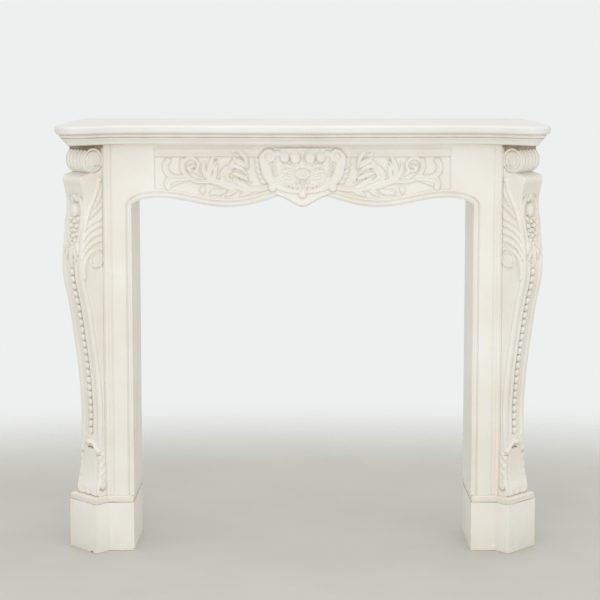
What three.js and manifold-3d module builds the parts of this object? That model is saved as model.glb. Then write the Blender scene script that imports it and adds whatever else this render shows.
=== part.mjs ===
// Carved fireplace mantel: serpentine shelf on a bed moulding, carved frieze board over the opening,
// and two legs of boards with a scrolled console set at 45 degrees on each outer corner.
// Millimetres, +Z up. The wall side is +Y, the front looks along -Y, and the floor is Z = 0.
import * as THREE from 'three';
import { mergeVertices } from 'three/addons/utils/BufferGeometryUtils.js';
import Module from 'manifold-3d';

const wasm = await Module();
wasm.setup();

// Overall
const SHELF_W = 1300;          // widest point of the shelf
const HEIGHT = 1160;           // floor to shelf top
const SHELF_D = 315;           // wall to the projecting shelf corners
const GAP = 0.3;               // glue joint left between neighbouring pieces
const WALL_Y = SHELF_D / 2;    // the wall plane

// Shelf and bed moulding
const SHELF_T = 23;            // shelf board
const BED_H = 30;              // bed moulding under the shelf
const BED_INSET = 33;          // how far its foot stands back from the shelf's lip
const SHELF_CENTRE_D = SHELF_D - 34;         // slight bow in the middle
const SHELF_FLANK_D = SHELF_D - 51;          // shallowest point of the front edge
const SHELF_FLANK_X = SHELF_W / 2 - 225;
const SHELF_CORNER_X = SHELF_W / 2 - 52;     // deepest point of the front edge, over the consoles
const SHELF_SIDE_D = SHELF_D - 75;           // depth at which the shelf is widest
const SHELF_BACK_X = SHELF_W / 2 - 38;       // half width against the wall

// Body
const LEG_W = 194;             // opening's edge to the end of the shelf
const OPENING_W = SHELF_W - 2 * LEG_W;       // clear width between the legs
const FACE_SETBACK = 118;      // flat face behind the shelf's corners
const FACE_D = SHELF_D - FACE_SETBACK;       // wall to the flat face of the jambs and the frieze
const BOARD = 22;              // board thickness
const RETURN_T = 18;           // inner return board
const RETURN_SPLAY = 6;        // how much the returns close in towards the wall
const CORNER_INSET = 55;       // canted corner inside the end of the shelf
const CANT_X = SHELF_W / 2 - CORNER_INSET;   // middle of the plinth's canted face
const CANT_D = FACE_D;
const CANT_SETBACK = 46;       // canted corner board behind that face
const SIDE_X = CANT_X;         // outer face of the side board

// Plinths
const BLOCK_H = 134;
const BLOCK_FACE_W = 114;      // canted face
const BLOCK_STEP = 8;          // block stands proud of the boards above
const BLOCK_WALL = 24;
const CAP_H = 17;
const CAP_INSET = 2;
const CAP_CHAMFER = 4;

// Opening's serpentine head: heights above the floor
const SPRING_Z = HEIGHT - 222;
const ARCH_X = OPENING_W / 2 - 71;
const ARCH_Z = SPRING_Z + 24;
const BELLY_X = OPENING_W / 2 - 256;
const BELLY_Z = SPRING_Z - 1;
const CUSP_X = 64;
const CUSP_Z = SPRING_Z + 28;
const TIP_Z = SPRING_Z - 1;
const JOINT_DROP = 13;         // frieze board runs this far below the springing

// Mouldings worked on the boards
const BEAD_W = 9;
const BEAD_PROUD = 1.5;
const QUIRK_W = 4;
const QUIRK_DEPTH = 3.5;
const ARRIS_W = 8;
const COVE_W = 13;
const COVE_DEPTH = 3.5;
const PANEL_HALF = OPENING_W / 2 - 62;       // frieze panel, half width
const PANEL_TOP_Z = HEIGHT - 88;
const PANEL_MARGIN = 22;       // panel floor stops this far above the serpentine edge
const PANEL_DEPTH = 4;
const STRIP_H = 26;            // moulded strip over the panel
const STRIP_PROUD = 6;

// Frieze carving
const LEAF_RISE = 10;          // rinceau leaves above the panel floor
const SHIELD_HALF = 112;
const SHIELD_RISE = 9;
const BOSS_RISE = 17;

// Console
const CONSOLE_HALF = 40;
const FOOT_HALF = 44;
const ROLL_R = 34;
const ROLL_Z = HEIGHT - 97;
const DRAWN_ROLL_Z = 1063;     // roll's axis in the drawing of the head's carving
const ROLL_N = -19;
const REEDS = 5;
const HEAD_BLOCK_HALF = 37;     // plain block between the roll and the bed moulding
const HEAD_BLOCK_N = 1;
const BEADS = 23;
const BEADS_TOP_Z = ROLL_Z - 287;
const BEADS_END_Z = 316;
const BEAD_R = 7.5;
const CHANNEL_HALF = 9;
const SIDE_VOLUTE_Z = ROLL_Z - 264;
const SIDE_VOLUTE_R = 24;

const S = Math.SQRT1_2;
const mix = (a, b, t) => a + (b - a) * t;
const paint = (hex, roughness) => new THREE.MeshStandardMaterial({ color: hex, roughness, metalness: 0 });
const CREAM = 0xe9e3d6;
const IVORY = 0xe7e5dc;

// Solids

function solid(geometry, weld = 1e-4) {
  const g = geometry.index ? geometry.toNonIndexed() : geometry.clone();
  g.deleteAttribute('normal');
  g.deleteAttribute('uv');
  const m = mergeVertices(g, weld);
  const tris = m.index.array;
  const keep = [];
  for (let i = 0; i < tris.length; i += 3) {
    const [a, b, c] = [tris[i], tris[i + 1], tris[i + 2]];
    if (a !== b && b !== c && a !== c) keep.push(a, b, c);
  }
  const p = m.attributes.position.array;
  let volume = 0;
  for (let i = 0; i < keep.length; i += 3) {
    const [a, b, c] = [keep[i] * 3, keep[i + 1] * 3, keep[i + 2] * 3];
    volume += p[a] * (p[b + 1] * p[c + 2] - p[b + 2] * p[c + 1])
      - p[a + 1] * (p[b] * p[c + 2] - p[b + 2] * p[c])
      + p[a + 2] * (p[b] * p[c + 1] - p[b + 1] * p[c]);
  }
  if (volume < 0) {
    for (let i = 0; i < keep.length; i += 3) [keep[i + 1], keep[i + 2]] = [keep[i + 2], keep[i + 1]];
  }
  return new wasm.Manifold(new wasm.Mesh({
    numProp: 3, vertProperties: new Float32Array(p), triVerts: new Uint32Array(keep),
  }));
}

function meshOf(body, name, material) {
  const raw = body.getMesh();
  const g = new THREE.BufferGeometry();
  g.setAttribute('position', new THREE.BufferAttribute(new Float32Array(raw.vertProperties), 3));
  g.setIndex(new THREE.BufferAttribute(new Uint32Array(raw.triVerts), 1));
  const flat = g.toNonIndexed();
  flat.computeVertexNormals();
  const mesh = new THREE.Mesh(flat, material);
  mesh.name = name;
  return mesh;
}

const union = (list) => list.reduce((a, b) => a.add(b));


// Overlapping carving can trap a pocket inside the wood: only the outer skin is kept.
function filled(body) {
  const raw = body.getMesh();
  const g = new THREE.BufferGeometry();
  g.setAttribute('position', new THREE.BufferAttribute(new Float32Array(raw.vertProperties), 3));
  g.setIndex(new THREE.BufferAttribute(new Uint32Array(raw.triVerts), 1));
  return union(solid(g, 2e-3).decompose().filter((shell) => shell.volume() > 1));
}

const mirrorX = (body) => body.mirror([1, 0, 0]);

// Closed body through equal rings of points; every ring is convex enough to be capped by a fan.
function loft(rings, caps) {
  const n = rings[0].length;
  const pos = [];
  const tri = (a, b, c) => pos.push(...a, ...b, ...c);
  for (let k = 0; k + 1 < rings.length; k++) {
    for (let i = 0; i < n; i++) {
      const j = (i + 1) % n;
      tri(rings[k][i], rings[k][j], rings[k + 1][j]);
      tri(rings[k][i], rings[k + 1][j], rings[k + 1][i]);
    }
  }
  const faces = caps ?? Array.from({ length: n - 2 }, (_, i) => [0, i + 1, i + 2]);
  const last = rings[rings.length - 1];
  for (const [a, b, c] of faces) {
    tri(rings[0][a], rings[0][c], rings[0][b]);
    tri(last[a], last[b], last[c]);
  }
  const g = new THREE.BufferGeometry();
  g.setAttribute('position', new THREE.BufferAttribute(new Float32Array(pos), 3));
  return solid(g);
}

// Plan outlines are [x, distance from the wall] pairs.
const plan = ([x, d]) => new THREE.Vector2(x, WALL_Y - d);

function upright(outline, z0, z1) {
  const g = new THREE.ExtrudeGeometry(new THREE.Shape(outline.map(plan)),
    { depth: z1 - z0, bevelEnabled: false });
  g.translate(0, 0, z0);
  return solid(g);
}

// Elevations are [across, height] pairs; thickness runs from n0 to n1, outward.
function slab(outline, n0, n1) {
  const shape = new THREE.Shape(outline.map(([a, b]) => new THREE.Vector2(a, b)));
  const g = new THREE.ExtrudeGeometry(shape, { depth: n1 - n0, bevelEnabled: false });
  g.translate(0, 0, n0);
  return solid(g);
}

// From (across, height, outward) to the frieze plane, or to the canted corner on the right.
const toFrieze = (body) => body.rotate([90, 0, 0]).translate([0, WALL_Y - FACE_D, 0]);
const toCorner = (body) => body.rotate([90, 0, 0]).rotate([0, 0, 45])
  .translate([CANT_X, WALL_Y - CANT_D, 0]);

function inset(points, by) {
  const area = points.reduce((s, p, i) => {
    const q = points[(i + 1) % points.length];
    return s + p[0] * q[1] - q[0] * p[1];
  }, 0);
  const side = Math.sign(area) * by;
  return points.map((p, i) => {
    const a = points[(i + points.length - 1) % points.length];
    const b = points[(i + 1) % points.length];
    const n1 = normal(a, p);
    const n2 = normal(p, b);
    const k = side / (1 + n1[0] * n2[0] + n1[1] * n2[1]);
    return [p[0] + (n1[0] + n2[0]) * k, p[1] + (n1[1] + n2[1]) * k];
  });
}

function normal(a, b) {
  const l = Math.hypot(b[0] - a[0], b[1] - a[1]) || 1;
  return [-(b[1] - a[1]) / l, (b[0] - a[0]) / l];
}

// Shelf

function shelfHalf() {
  const rise = SHELF_D - SHELF_FLANK_D;
  const run = SHELF_CORNER_X - SHELF_FLANK_X;
  const half = SHELF_W / 2;
  const over = half - SHELF_CORNER_X;
  const key = [
    [-SHELF_FLANK_X * 0.5, mix(SHELF_CENTRE_D, SHELF_FLANK_D, 0.45)],
    [0, SHELF_CENTRE_D],
    [SHELF_FLANK_X * 0.5, mix(SHELF_CENTRE_D, SHELF_FLANK_D, 0.45)],
    [SHELF_FLANK_X, SHELF_FLANK_D],
    [SHELF_FLANK_X + run * 0.5, SHELF_FLANK_D + rise * 0.24],
    [SHELF_FLANK_X + run * 0.8, SHELF_FLANK_D + rise * 0.74],
    [SHELF_CORNER_X, SHELF_D],
    [SHELF_CORNER_X + over * 0.6, SHELF_D - rise * 0.2],
    [half - over * 0.06, SHELF_D - rise * 0.75],
    [half, SHELF_SIDE_D],
    [mix(half, SHELF_BACK_X, 0.3), SHELF_SIDE_D * 0.6],
    [mix(half, SHELF_BACK_X, 0.8), SHELF_SIDE_D * 0.25],
    [SHELF_BACK_X, 0],
  ];
  const spline = new THREE.SplineCurve(key.map(([x, d]) => new THREE.Vector2(x, d)));
  const first = 1 / (key.length - 1);
  const steps = 21;
  const pts = [];
  for (let i = 0; i <= steps; i++) {
    const p = spline.getPoint(first + (1 - first) * (i / steps));
    pts.push([i === 0 ? 0 : p.x, i === steps ? 0 : p.y]);
  }
  const maxX = Math.max(...pts.map((p) => p[0]));
  const maxD = Math.max(...pts.map((p) => p[1]));
  return pts.map(([x, d]) => [x * half / maxX, d * SHELF_D / maxD]);
}

function shelfRing(by, z) {
  const half = shelfHalf();
  const last = half.length - 1;
  const moved = half.map((p, i) => {
    if (i === last) return [p[0] - by, 0];
    const n = normal(i === 0 ? [-half[1][0], half[1][1]] : half[i - 1], half[i + 1]);
    return [p[0] - n[0] * by, p[1] - n[1] * by];
  });
  moved[0][0] = 0;
  const ring = [...moved, ...moved.slice(1).reverse().map(([x, d]) => [-x, d])];
  return ring.map((p) => { const v = plan(p); return [v.x, v.y, z]; });
}

function moulded(profile) {
  const rings = profile.map(([by, z]) => shelfRing(by, z));
  const flat = rings[0].map(([x, y]) => new THREE.Vector2(x, y));
  return loft(rings, THREE.ShapeUtils.triangulateShape(flat, []));
}

const shelfBottom = HEIGHT - SHELF_T;
const shelf = moulded([
  [11, shelfBottom], [3.5, shelfBottom + 1.5], [0, shelfBottom + 7], [0, HEIGHT - 9],
  [2.5, HEIGHT - 3], [8, HEIGHT],
]);

const bedTop = shelfBottom - GAP;
const bedFoot = shelfBottom - BED_H;
const bed = moulded([
  [BED_INSET, bedFoot], [BED_INSET - 4, bedFoot + 3], [BED_INSET - 12, bedFoot + 9],
  [BED_INSET - 17, bedFoot + 19], [BED_INSET - 18, bedFoot + 21.5], [BED_INSET - 22.5, bedFoot + 23.5],
  [BED_INSET - 22.5, bedFoot + 27], [BED_INSET - 19, bedTop],
]);

// Leg boards: plan of the body above the plinth

const bodyTop = bedFoot - GAP;
const blockTop = BLOCK_H;
const capTop = BLOCK_H + GAP + CAP_H;
const boardFoot = capTop + GAP;
const openX = OPENING_W / 2;
const frontJoint = SPRING_Z - JOINT_DROP;
const arrisX = CANT_X + CANT_D - FACE_D - CANT_SETBACK / S;      // canted plane meets the front face
const arrisD = CANT_D + CANT_X - SIDE_X - CANT_SETBACK / S;      // and the side face
const mitre = BOARD * Math.tan(Math.PI / 8);

// Front of the jamb from the opening to the outer arris: [x, height above the face]
const jambFace = [
  [openX, -2.5], [openX + BEAD_W * 0.15, 0], [openX + BEAD_W * 0.5, BEAD_PROUD],
  [openX + BEAD_W * 0.85, 0], [openX + BEAD_W, -2.5], [openX + BEAD_W, -QUIRK_DEPTH],
  [openX + BEAD_W + QUIRK_W, -QUIRK_DEPTH], [openX + BEAD_W + QUIRK_W, 0],
  [arrisX - ARRIS_W - COVE_W, 0], [arrisX - ARRIS_W - COVE_W * 0.77, -COVE_DEPTH * 0.75],
  [arrisX - ARRIS_W - COVE_W * 0.5, -COVE_DEPTH], [arrisX - ARRIS_W - COVE_W * 0.23, -COVE_DEPTH * 0.75],
  [arrisX - ARRIS_W, 0], [arrisX - GAP / 2, 0],
];

const jamb = upright([
  [openX, FACE_D - BOARD], ...jambFace.map(([x, n]) => [x, FACE_D + n]),
  [arrisX - mitre - GAP / 2, FACE_D - BOARD],
], boardFoot, frontJoint);

const cornerBoard = upright(inset([
  [arrisX, FACE_D], [SIDE_X, arrisD], [SIDE_X - BOARD, arrisD - mitre],
  [arrisX - mitre, FACE_D - BOARD],
], GAP / 2), boardFoot, bodyTop);

const sideBoard = upright([
  [SIDE_X, 0], [SIDE_X, arrisD - GAP], [SIDE_X - BOARD, arrisD - mitre - GAP], [SIDE_X - BOARD, 0],
], boardFoot, bodyTop);

const returnD = FACE_D - BOARD - GAP;
const splayAt = (d) => openX - RETURN_SPLAY * (1 - d / FACE_D);
const returnBoard = upright([
  [splayAt(0), 0], [splayAt(returnD), returnD], [splayAt(returnD) + RETURN_T, returnD],
  [splayAt(0) + RETURN_T, 0],
], boardFoot, bodyTop);

// Plinth: canted face square to the diagonal, short cheeks, then front and side faces

function plinthPlan(by) {
  const face = BLOCK_FACE_W / 2;
  const front = FACE_D + BLOCK_STEP;
  const side = SIDE_X + BLOCK_STEP;
  const b = [CANT_X - face * S, CANT_D + face * S];
  const a = [CANT_X + face * S, CANT_D - face * S];
  const c = [b[0] - (b[1] - front), front];
  const e = [side, a[1] - (a[0] - side)];
  const outer = [[openX - RETURN_SPLAY, 0], [openX, front], c, b, a, e, [side, 0]];
  return outer.map((p, i) => {
    if (i === 0) return [p[0] + by, 0];
    if (i === outer.length - 1) return [p[0] - by, 0];
    const n1 = normal(outer[i - 1], p);
    const n2 = normal(p, outer[i + 1]);
    const k = by / (1 + n1[0] * n2[0] + n1[1] * n2[1]);
    return [p[0] - (n1[0] + n2[0]) * k, p[1] - (n1[1] + n2[1]) * k];
  });
}

const block = upright([...plinthPlan(0), ...plinthPlan(BLOCK_WALL).reverse()], 0, blockTop);

const capRing = (by, z) => plinthPlan(by).map((p) => { const v = plan(p); return [v.x, v.y, z]; });
const capCaps = THREE.ShapeUtils.triangulateShape(
  capRing(CAP_INSET, 0).map(([x, y]) => new THREE.Vector2(x, y)), []);
const cap = loft([
  capRing(CAP_INSET, blockTop + GAP), capRing(CAP_INSET, capTop - CAP_CHAMFER),
  capRing(CAP_INSET + CAP_CHAMFER, capTop),
], capCaps);

// Frieze board: serpentine edge from the springing to the middle, right half

function serpentine() {
  const pts = [[openX, frontJoint]];
  const quarter = 5;
  for (let i = 0; i <= quarter; i++) {
    const t = (i / quarter) * Math.PI / 2;
    pts.push([mix(openX, ARCH_X, 1 - Math.cos(t)), mix(SPRING_Z, ARCH_Z, Math.sin(t))]);
  }
  const flow = 7;
  for (let i = 1; i <= flow; i++) {
    const t = i / flow;
    pts.push([mix(ARCH_X, BELLY_X, t), mix(ARCH_Z, BELLY_Z, 0.5 - 0.5 * Math.cos(Math.PI * t))]);
  }
  const lift = 5;
  for (let i = 1; i <= lift; i++) {
    const t = i / lift;
    pts.push([mix(BELLY_X, CUSP_X, t), mix(BELLY_Z, CUSP_Z, 1 - Math.cos(Math.PI * t / 2))]);
  }
  return pts;
}

function tipCurve() {
  const pts = [];
  const steps = 6;
  for (let i = 1; i <= steps; i++) {
    const t = i / steps;
    const ease = mix(t, 0.5 - 0.5 * Math.cos(Math.PI * t), 0.6);
    pts.push([CUSP_X * (1 - t), mix(CUSP_Z, TIP_Z, ease)]);
  }
  return pts;
}

function offsetCurve(curve, by) {
  return curve.map((p, i) => {
    const n = normal(curve[Math.max(i - 1, 0)], curve[Math.min(i + 1, curve.length - 1)]);
    return [p[0] - n[0] * by, p[1] - n[1] * by];
  });
}

const edge = serpentine();
const flip = (pts) => pts.slice().reverse().map(([x, z]) => [-x, z]);
const lower = [...edge, ...tipCurve()];
const halfX = arrisX + 5;

const friezeOutline = [
  ...lower, ...flip(lower).slice(1), [-halfX, frontJoint], [-halfX, bodyTop], [halfX, bodyTop],
  [halfX, frontJoint],
];

// Strip of the face along the opening that is sunk for the bead and its quirk
const sunkStrip = (() => {
  const out = offsetCurve(edge, BEAD_W + QUIRK_W);
  const low = offsetCurve(edge, -6);
  out[0][1] -= 5;
  low[0][1] -= 5;
  return slab([...low, ...out.reverse()], -QUIRK_DEPTH, 8);
})();

const beadStrip = (() => {
  const section = [[0.1, -QUIRK_DEPTH - 3], [0.1, -2.5], [BEAD_W * 0.3, BEAD_PROUD], [BEAD_W * 0.7, BEAD_PROUD],
    [BEAD_W, -2.5], [BEAD_W, -QUIRK_DEPTH - 3]];
  const lines = section.map(([off]) => offsetCurve(edge, off));
  const rings = edge.map((_, i) => section.map(([, n], k) => [lines[k][i][0], lines[k][i][1], n]));
  return loft(rings);
})();

const panelFloor = -PANEL_DEPTH;
const panel = (() => {
  const base = offsetCurve(edge, PANEL_MARGIN).filter(([x]) => x < PANEL_HALF - 2);
  const cut = [[PANEL_HALF, base[0][1]], ...base];
  const foot = cut[cut.length - 1][1];
  cut.push([0, foot]);
  const outline = [...cut, ...flip(cut).slice(1), [-PANEL_HALF, PANEL_TOP_Z], [PANEL_HALF, PANEL_TOP_Z]];
  return slab(outline, panelFloor, 10);
})();

const coveCut = (() => {
  const x0 = arrisX - ARRIS_W - COVE_W;
  const section = [[x0, 3], [x0, 0], [x0 + COVE_W * 0.23, -COVE_DEPTH * 0.75], [x0 + COVE_W * 0.5, -COVE_DEPTH],
    [x0 + COVE_W * 0.77, -COVE_DEPTH * 0.75], [x0 + COVE_W, 0], [x0 + COVE_W, 3]];
  return loft([frontJoint - 3, bodyTop + 3].map((z) => section.map(([x, n]) => [x, z, n])));
})();

const strip = (() => {
  const top = PANEL_TOP_Z + STRIP_H;
  const section = [[PANEL_TOP_Z, -1], [PANEL_TOP_Z, STRIP_PROUD * 0.5], [PANEL_TOP_Z + 3, STRIP_PROUD],
    [PANEL_TOP_Z + 7, STRIP_PROUD * 0.5], [PANEL_TOP_Z + 10, STRIP_PROUD * 0.25],
    [PANEL_TOP_Z + 17, STRIP_PROUD * 0.4], [top - 4, STRIP_PROUD * 0.9], [top, STRIP_PROUD * 0.9], [top, -1]];
  return loft([-PANEL_HALF, PANEL_HALF].map((x) => section.map(([z, n]) => [x, z, n])));
})();

// Carving: tapered ridges along bent paths, domes and turned bosses.
// A place function lays (across, height, rise) on the surface that carries the carving.

function path(x0, z0, x1, z1, bend, steps) {
  const mx = (x0 + x1) / 2 - (z1 - z0) * bend * 2;
  const mz = (z0 + z1) / 2 + (x1 - x0) * bend * 2;
  const curve = new THREE.QuadraticBezierCurve(
    new THREE.Vector2(x0, z0), new THREE.Vector2(mx, mz), new THREE.Vector2(x1, z1));
  return curve.getPoints(steps).map((p) => [p.x, p.y]);
}

function ridge(pts, width, rise, sink, place, taper = leafTaper, round = false) {
  const n = pts.length - 1;
  const rings = pts.map((p, i) => {
    const nrm = normal(pts[Math.max(i - 1, 0)], pts[Math.min(i + 1, n)]);
    const [w, h] = taper(i / n);
    const half = Math.max(width * w / 2, 0.5);
    const at = (s, r) => place(p[0] + nrm[0] * s, p[1] + nrm[1] * s, r);
    const crest = round ? [at(half * 0.6, rise * h * 0.85), at(-half * 0.6, rise * h * 0.85)] : [at(0, rise * h)];
    return [at(half, -sink), ...crest, at(-half, -sink)];
  });
  return loft(rings);
}

const leafTaper = (t) => [Math.sin(Math.PI * (0.16 + 0.8 * t)), 0.45 + 0.55 * Math.sin(Math.PI * (0.1 + 0.8 * t))];
const cordTaper = (t) => [mix(1, 0.55, t), mix(1, 0.8, t)];

function dome(x, z, rx, rz, rise, place, around = 5) {
  const levels = [[1, -2], [0.8, 0.7], [0.1, 1]];
  const rings = levels.map(([r, h]) => Array.from({ length: around }, (_, i) => {
    const a = (i / around) * Math.PI * 2;
    return place(x + rx * r * Math.cos(a), z + rz * r * Math.sin(a), h < 0 ? h : rise * h);
  }));
  return loft(rings);
}

function spiral(x, z, r0, r1, from, turns, steps) {
  return Array.from({ length: steps + 1 }, (_, i) => {
    const t = i / steps;
    const a = from + turns * Math.PI * 2 * t;
    const r = mix(r0, r1, Math.sqrt(t));
    return [x + r * Math.cos(a), z + r * Math.sin(a)];
  });
}

// Rinceau on the right half of the panel. Across in hundredths of the half panel, height in
// hundredths from the belly's panel floor to the panel top.
const ux = PANEL_HALF / 100;
const uz = (PANEL_TOP_Z - BELLY_Z - PANEL_MARGIN) / 100;
const onPanel = (a, b, r) => [a * ux, BELLY_Z + PANEL_MARGIN + b * uz, panelFloor + r];
const onPanelMm = (a, b, r) => [a, b, panelFloor + r];
const leafWidth = PANEL_TOP_Z - BELLY_Z - PANEL_MARGIN;

// x0, z0, x1, z1, bend, width in hundredths of the carving's height
const rinceauLeaves = [
  [61, 30, 67, 10, 0.28, 16], [54, 27, 50, 4, 0.1, 16], [45, 24, 40, 2, 0.12, 16], [37, 22, 29, 6, 0.12, 15],
  [60, 42, 66, 92, -0.22, 15], [55, 44, 59, 98, -0.2, 17], [48, 40, 47, 76, 0.3, 17],
  [45, 80, 33, 84, -0.3, 14], [47, 78, 34, 102, -0.25, 15], [45, 66, 30, 66, -0.25, 15],
  [43, 54, 27, 46, -0.25, 15], [25, 40, 31, 88, 0.14, 14],
  [84, 52, 95, 46, 0.25, 19], [96, 46, 93, 22, 0.25, 14], [92, 56, 96, 90, -0.35, 17],
];

function rinceau() {
  const curlX = 74 * ux;
  const curlZ = BELLY_Z + PANEL_MARGIN + 68 * uz;
  const curlR = leafWidth * 0.27;
  const stretch = (pts) => pts.map(([x, z]) => [curlX + (x - curlX) * 1.12, z]);
  const stem = new THREE.CatmullRomCurve3([
    [27, 33], [40, 26], [52, 34], [62, 34], [74, 40], [83, 58],
  ].map(([a, b]) => new THREE.Vector3(a * ux, BELLY_Z + PANEL_MARGIN + b * uz, 0)))
    .getPoints(7).map((v) => [v.x, v.y]);
  const curl = stretch(spiral(curlX, curlZ, curlR, curlR * 0.3, -0.4, 1.15, 9));
  return union([
    ridge(stem, leafWidth * 0.12, LEAF_RISE, 2, onPanelMm, cordTaper),
    ridge(curl, leafWidth * 0.13, LEAF_RISE, 2, onPanelMm, cordTaper),
    dome(curlX, curlZ, curlR * 0.3, curlR * 0.3, LEAF_RISE, onPanelMm),
    dome(93.5 * ux, BELLY_Z + PANEL_MARGIN + 88 * uz, leafWidth * 0.08, leafWidth * 0.08, LEAF_RISE, onPanelMm),
    ...rinceauLeaves.map(([x0, z0, x1, z1, bend, w]) => ridge(
      path(x0, z0, x1, z1, bend, 3).map(([a, b]) => [a * ux, BELLY_Z + PANEL_MARGIN + b * uz]),
      leafWidth * w / 100, LEAF_RISE, 2, onPanelMm)),
  ]);
}

// Cartouche: heart-shaped field between C-scrolls, fan, rosette, flowers and the plain lower lobe

function cartouche() {
  const k = SHIELD_HALF / 100;
  const z0 = PANEL_TOP_Z;
  const onFace = (a, b, r) => [a * k, z0 + b * k, r];
  const mm = (a, b, r) => [a, b, r];
  const place = (pts) => pts.map(([a, b]) => [a * k, z0 + b * k]);
  const field = place([[0, 22], [60, 24], [84, 18], [97, 4], [90, -18], [86, -38], [72, -58], [50, -73],
    [26, -82], [0, -84]]);
  const lobe = [[0, TIP_Z + 1.5], ...flip(tipCurve()).slice(1).map(([x, z]) => [-x, z + 1]),
    [CUSP_X + 14, CUSP_Z + 12], [58 * k, z0 - 62 * k], [0, z0 - 76 * k]];
  const side = (pts) => [...pts, ...flip(pts).filter(([x]) => Math.abs(x) > 0.01)];
  const plate = slab(side(field), panelFloor - 1, SHIELD_RISE);
  const lobePlate = slab(side(lobe), panelFloor - 3, SHIELD_RISE * 0.55);
  const scrollPath = new THREE.CatmullRomCurve3([
    [84, 16], [96, 2], [94, -22], [88, -42], [77, -56], [72, -64],
  ].map(([a, b]) => new THREE.Vector3(a * k, z0 + b * k, 0))).getPoints(6).map((v) => [v.x, v.y]);
  const upper = spiral(80 * k, z0 + 3 * k, 15 * k, 5 * k, 1.2, -1.1, 7);
  const lowerCurl = spiral(70 * k, z0 - 71 * k, 11 * k, 4 * k, 1.8, 1.1, 5);
  const rise = SHIELD_RISE + 5;
  const half = union([
    ridge(scrollPath, 20 * k, rise, 2, mm, (t) => [mix(0.75, 1, Math.sin(Math.PI * t)), 1], true),
    ridge(upper, 10 * k, rise + 2, 2, mm, cordTaper),
    ridge(lowerCurl, 8 * k, rise, 8, mm, cordTaper),
    dome(80 * k, z0 + 3 * k, 6 * k, 6 * k, rise + 1, mm),
    dome(70 * k, z0 - 71 * k, 5 * k, 5 * k, rise, mm),
    ...[15, 41].map((x) => ridge(
      place(path(x * 0.9, 18, x * 1.03, -16, 0, 4)), 25 * k, BOSS_RISE, 2, mm,
      (t) => [0.35 + 0.65 * Math.sin(Math.PI * (0.2 + 0.7 * t)), 0.6 + 0.4 * Math.sin(Math.PI * (0.1 + 0.8 * t))],
      true)),
    ...[[67, -10], [69, -22], [67, -34], [62, -46]].map(([a, b]) => dome(
      a * k, z0 + b * k, 5.5 * k, 6 * k, BOSS_RISE - 3, mm, 4)),
    ...[[11, -61], [28, -59], [17, -73]].map(([a, b]) => dome(
      a * k, z0 + b * k, 7.5 * k, 6.5 * k, BOSS_RISE, mm)),
    ridge(place(path(22, -46, 50, -30, 0.2, 3)), 16 * k, BOSS_RISE - 1, 2, mm),
    ridge(place(path(24, -54, 52, -50, -0.15, 3)), 14 * k, BOSS_RISE - 1, 2, mm),
    ridge(place(path(12, -112, 50, -96, -0.12, 3)), 12 * k, SHIELD_RISE + 1, 8, mm),
  ]);
  const rosette = (() => {
    const seg = 10;
    const rings = [[20, -2], [19, BOSS_RISE - 2], [12, BOSS_RISE - 4], [4, BOSS_RISE + 2]];
    return loft(rings.map(([r, h]) => Array.from({ length: seg }, (_, i) => {
      const a = (i / seg) * Math.PI * 2;
      return onFace(r * Math.cos(a), -42 + r * 0.95 * Math.sin(a), h);
    })));
  })();
  return union([plate, lobePlate, half, mirrorX(half), rosette,
    dome(0, z0 - 90 * k, 10 * k, 10 * k, SHIELD_RISE + 7, mm, 9)]);
}

const friezeDrawn = (() => {
  let board = slab(friezeOutline, -BOARD, 0);
  board = board.subtract(sunkStrip).subtract(mirrorX(sunkStrip)).subtract(panel)
    .subtract(coveCut).subtract(mirrorX(coveCut));
  const leaves = rinceau();
  return union([board, beadStrip, mirrorX(beadStrip), strip, leaves, mirrorX(leaves), cartouche()]);
})();

const friezeEnds = upright([
  [arrisX - GAP / 2, FACE_D + 40], [arrisX - GAP / 2, FACE_D], [arrisX - mitre - GAP / 2, FACE_D - BOARD],
  [-arrisX + mitre + GAP / 2, FACE_D - BOARD], [-arrisX + GAP / 2, FACE_D], [-arrisX + GAP / 2, FACE_D + 40],
], frontJoint + GAP, bodyTop);
const frieze = filled(toFrieze(friezeDrawn).intersect(friezeEnds));

// Console: drawn as (across u, height z, outward n), n = 0 at the plinth's canted face.
// Front profile as [height, n]; height runs in thousandths of the carved length.
const consoleFoot = capTop + GAP;
const consoleTop = ROLL_Z;
const profileKeys = [
  [0, -17], [22, -19], [52, -26], [90, -29.5], [178, -28.5], [255, -29.5], [330, -25],
  [402, -17.7], [470, -8], [530, 0.8], [585, 10.5], [638, 23], [685, 27.6], [735, 25.5],
  [790, 18.5], [850, 13], [890, 13], [920, 19], [946, 24], [957, 17], [965, -10], [1000, -19],
];
const consoleLength = consoleTop - consoleFoot;
const headLift = ROLL_Z - DRAWN_ROLL_Z;
const profile = (z) => {
  const t = THREE.MathUtils.clamp((z - consoleFoot) / consoleLength * 1000, 0, 1000);
  let i = 0;
  while (i < profileKeys.length - 2 && profileKeys[i + 1][0] < t) i++;
  const at = (k) => profileKeys[THREE.MathUtils.clamp(k, 0, profileKeys.length - 1)];
  const [t0, n0] = at(i);
  const [t1, n1] = at(i + 1);
  const s = (t - t0) / (t1 - t0);
  const m0 = (n1 - at(i - 1)[1]) / Math.max(t1 - at(i - 1)[0], 1) * (t1 - t0);
  const m1 = (at(i + 2)[1] - n0) / Math.max(at(i + 2)[0] - t0, 1) * (t1 - t0);
  return (2 * s ** 3 - 3 * s ** 2 + 1) * n0 + (s ** 3 - 2 * s ** 2 + s) * m0
    + (-2 * s ** 3 + 3 * s ** 2) * n1 + (s ** 3 - s ** 2) * m1;
};
const consoleBack = -CANT_SETBACK + GAP;
const halfAt = (z) => mix(FOOT_HALF, CONSOLE_HALF, THREE.MathUtils.smoothstep(z, consoleFoot + 20, consoleFoot + 150));

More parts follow.
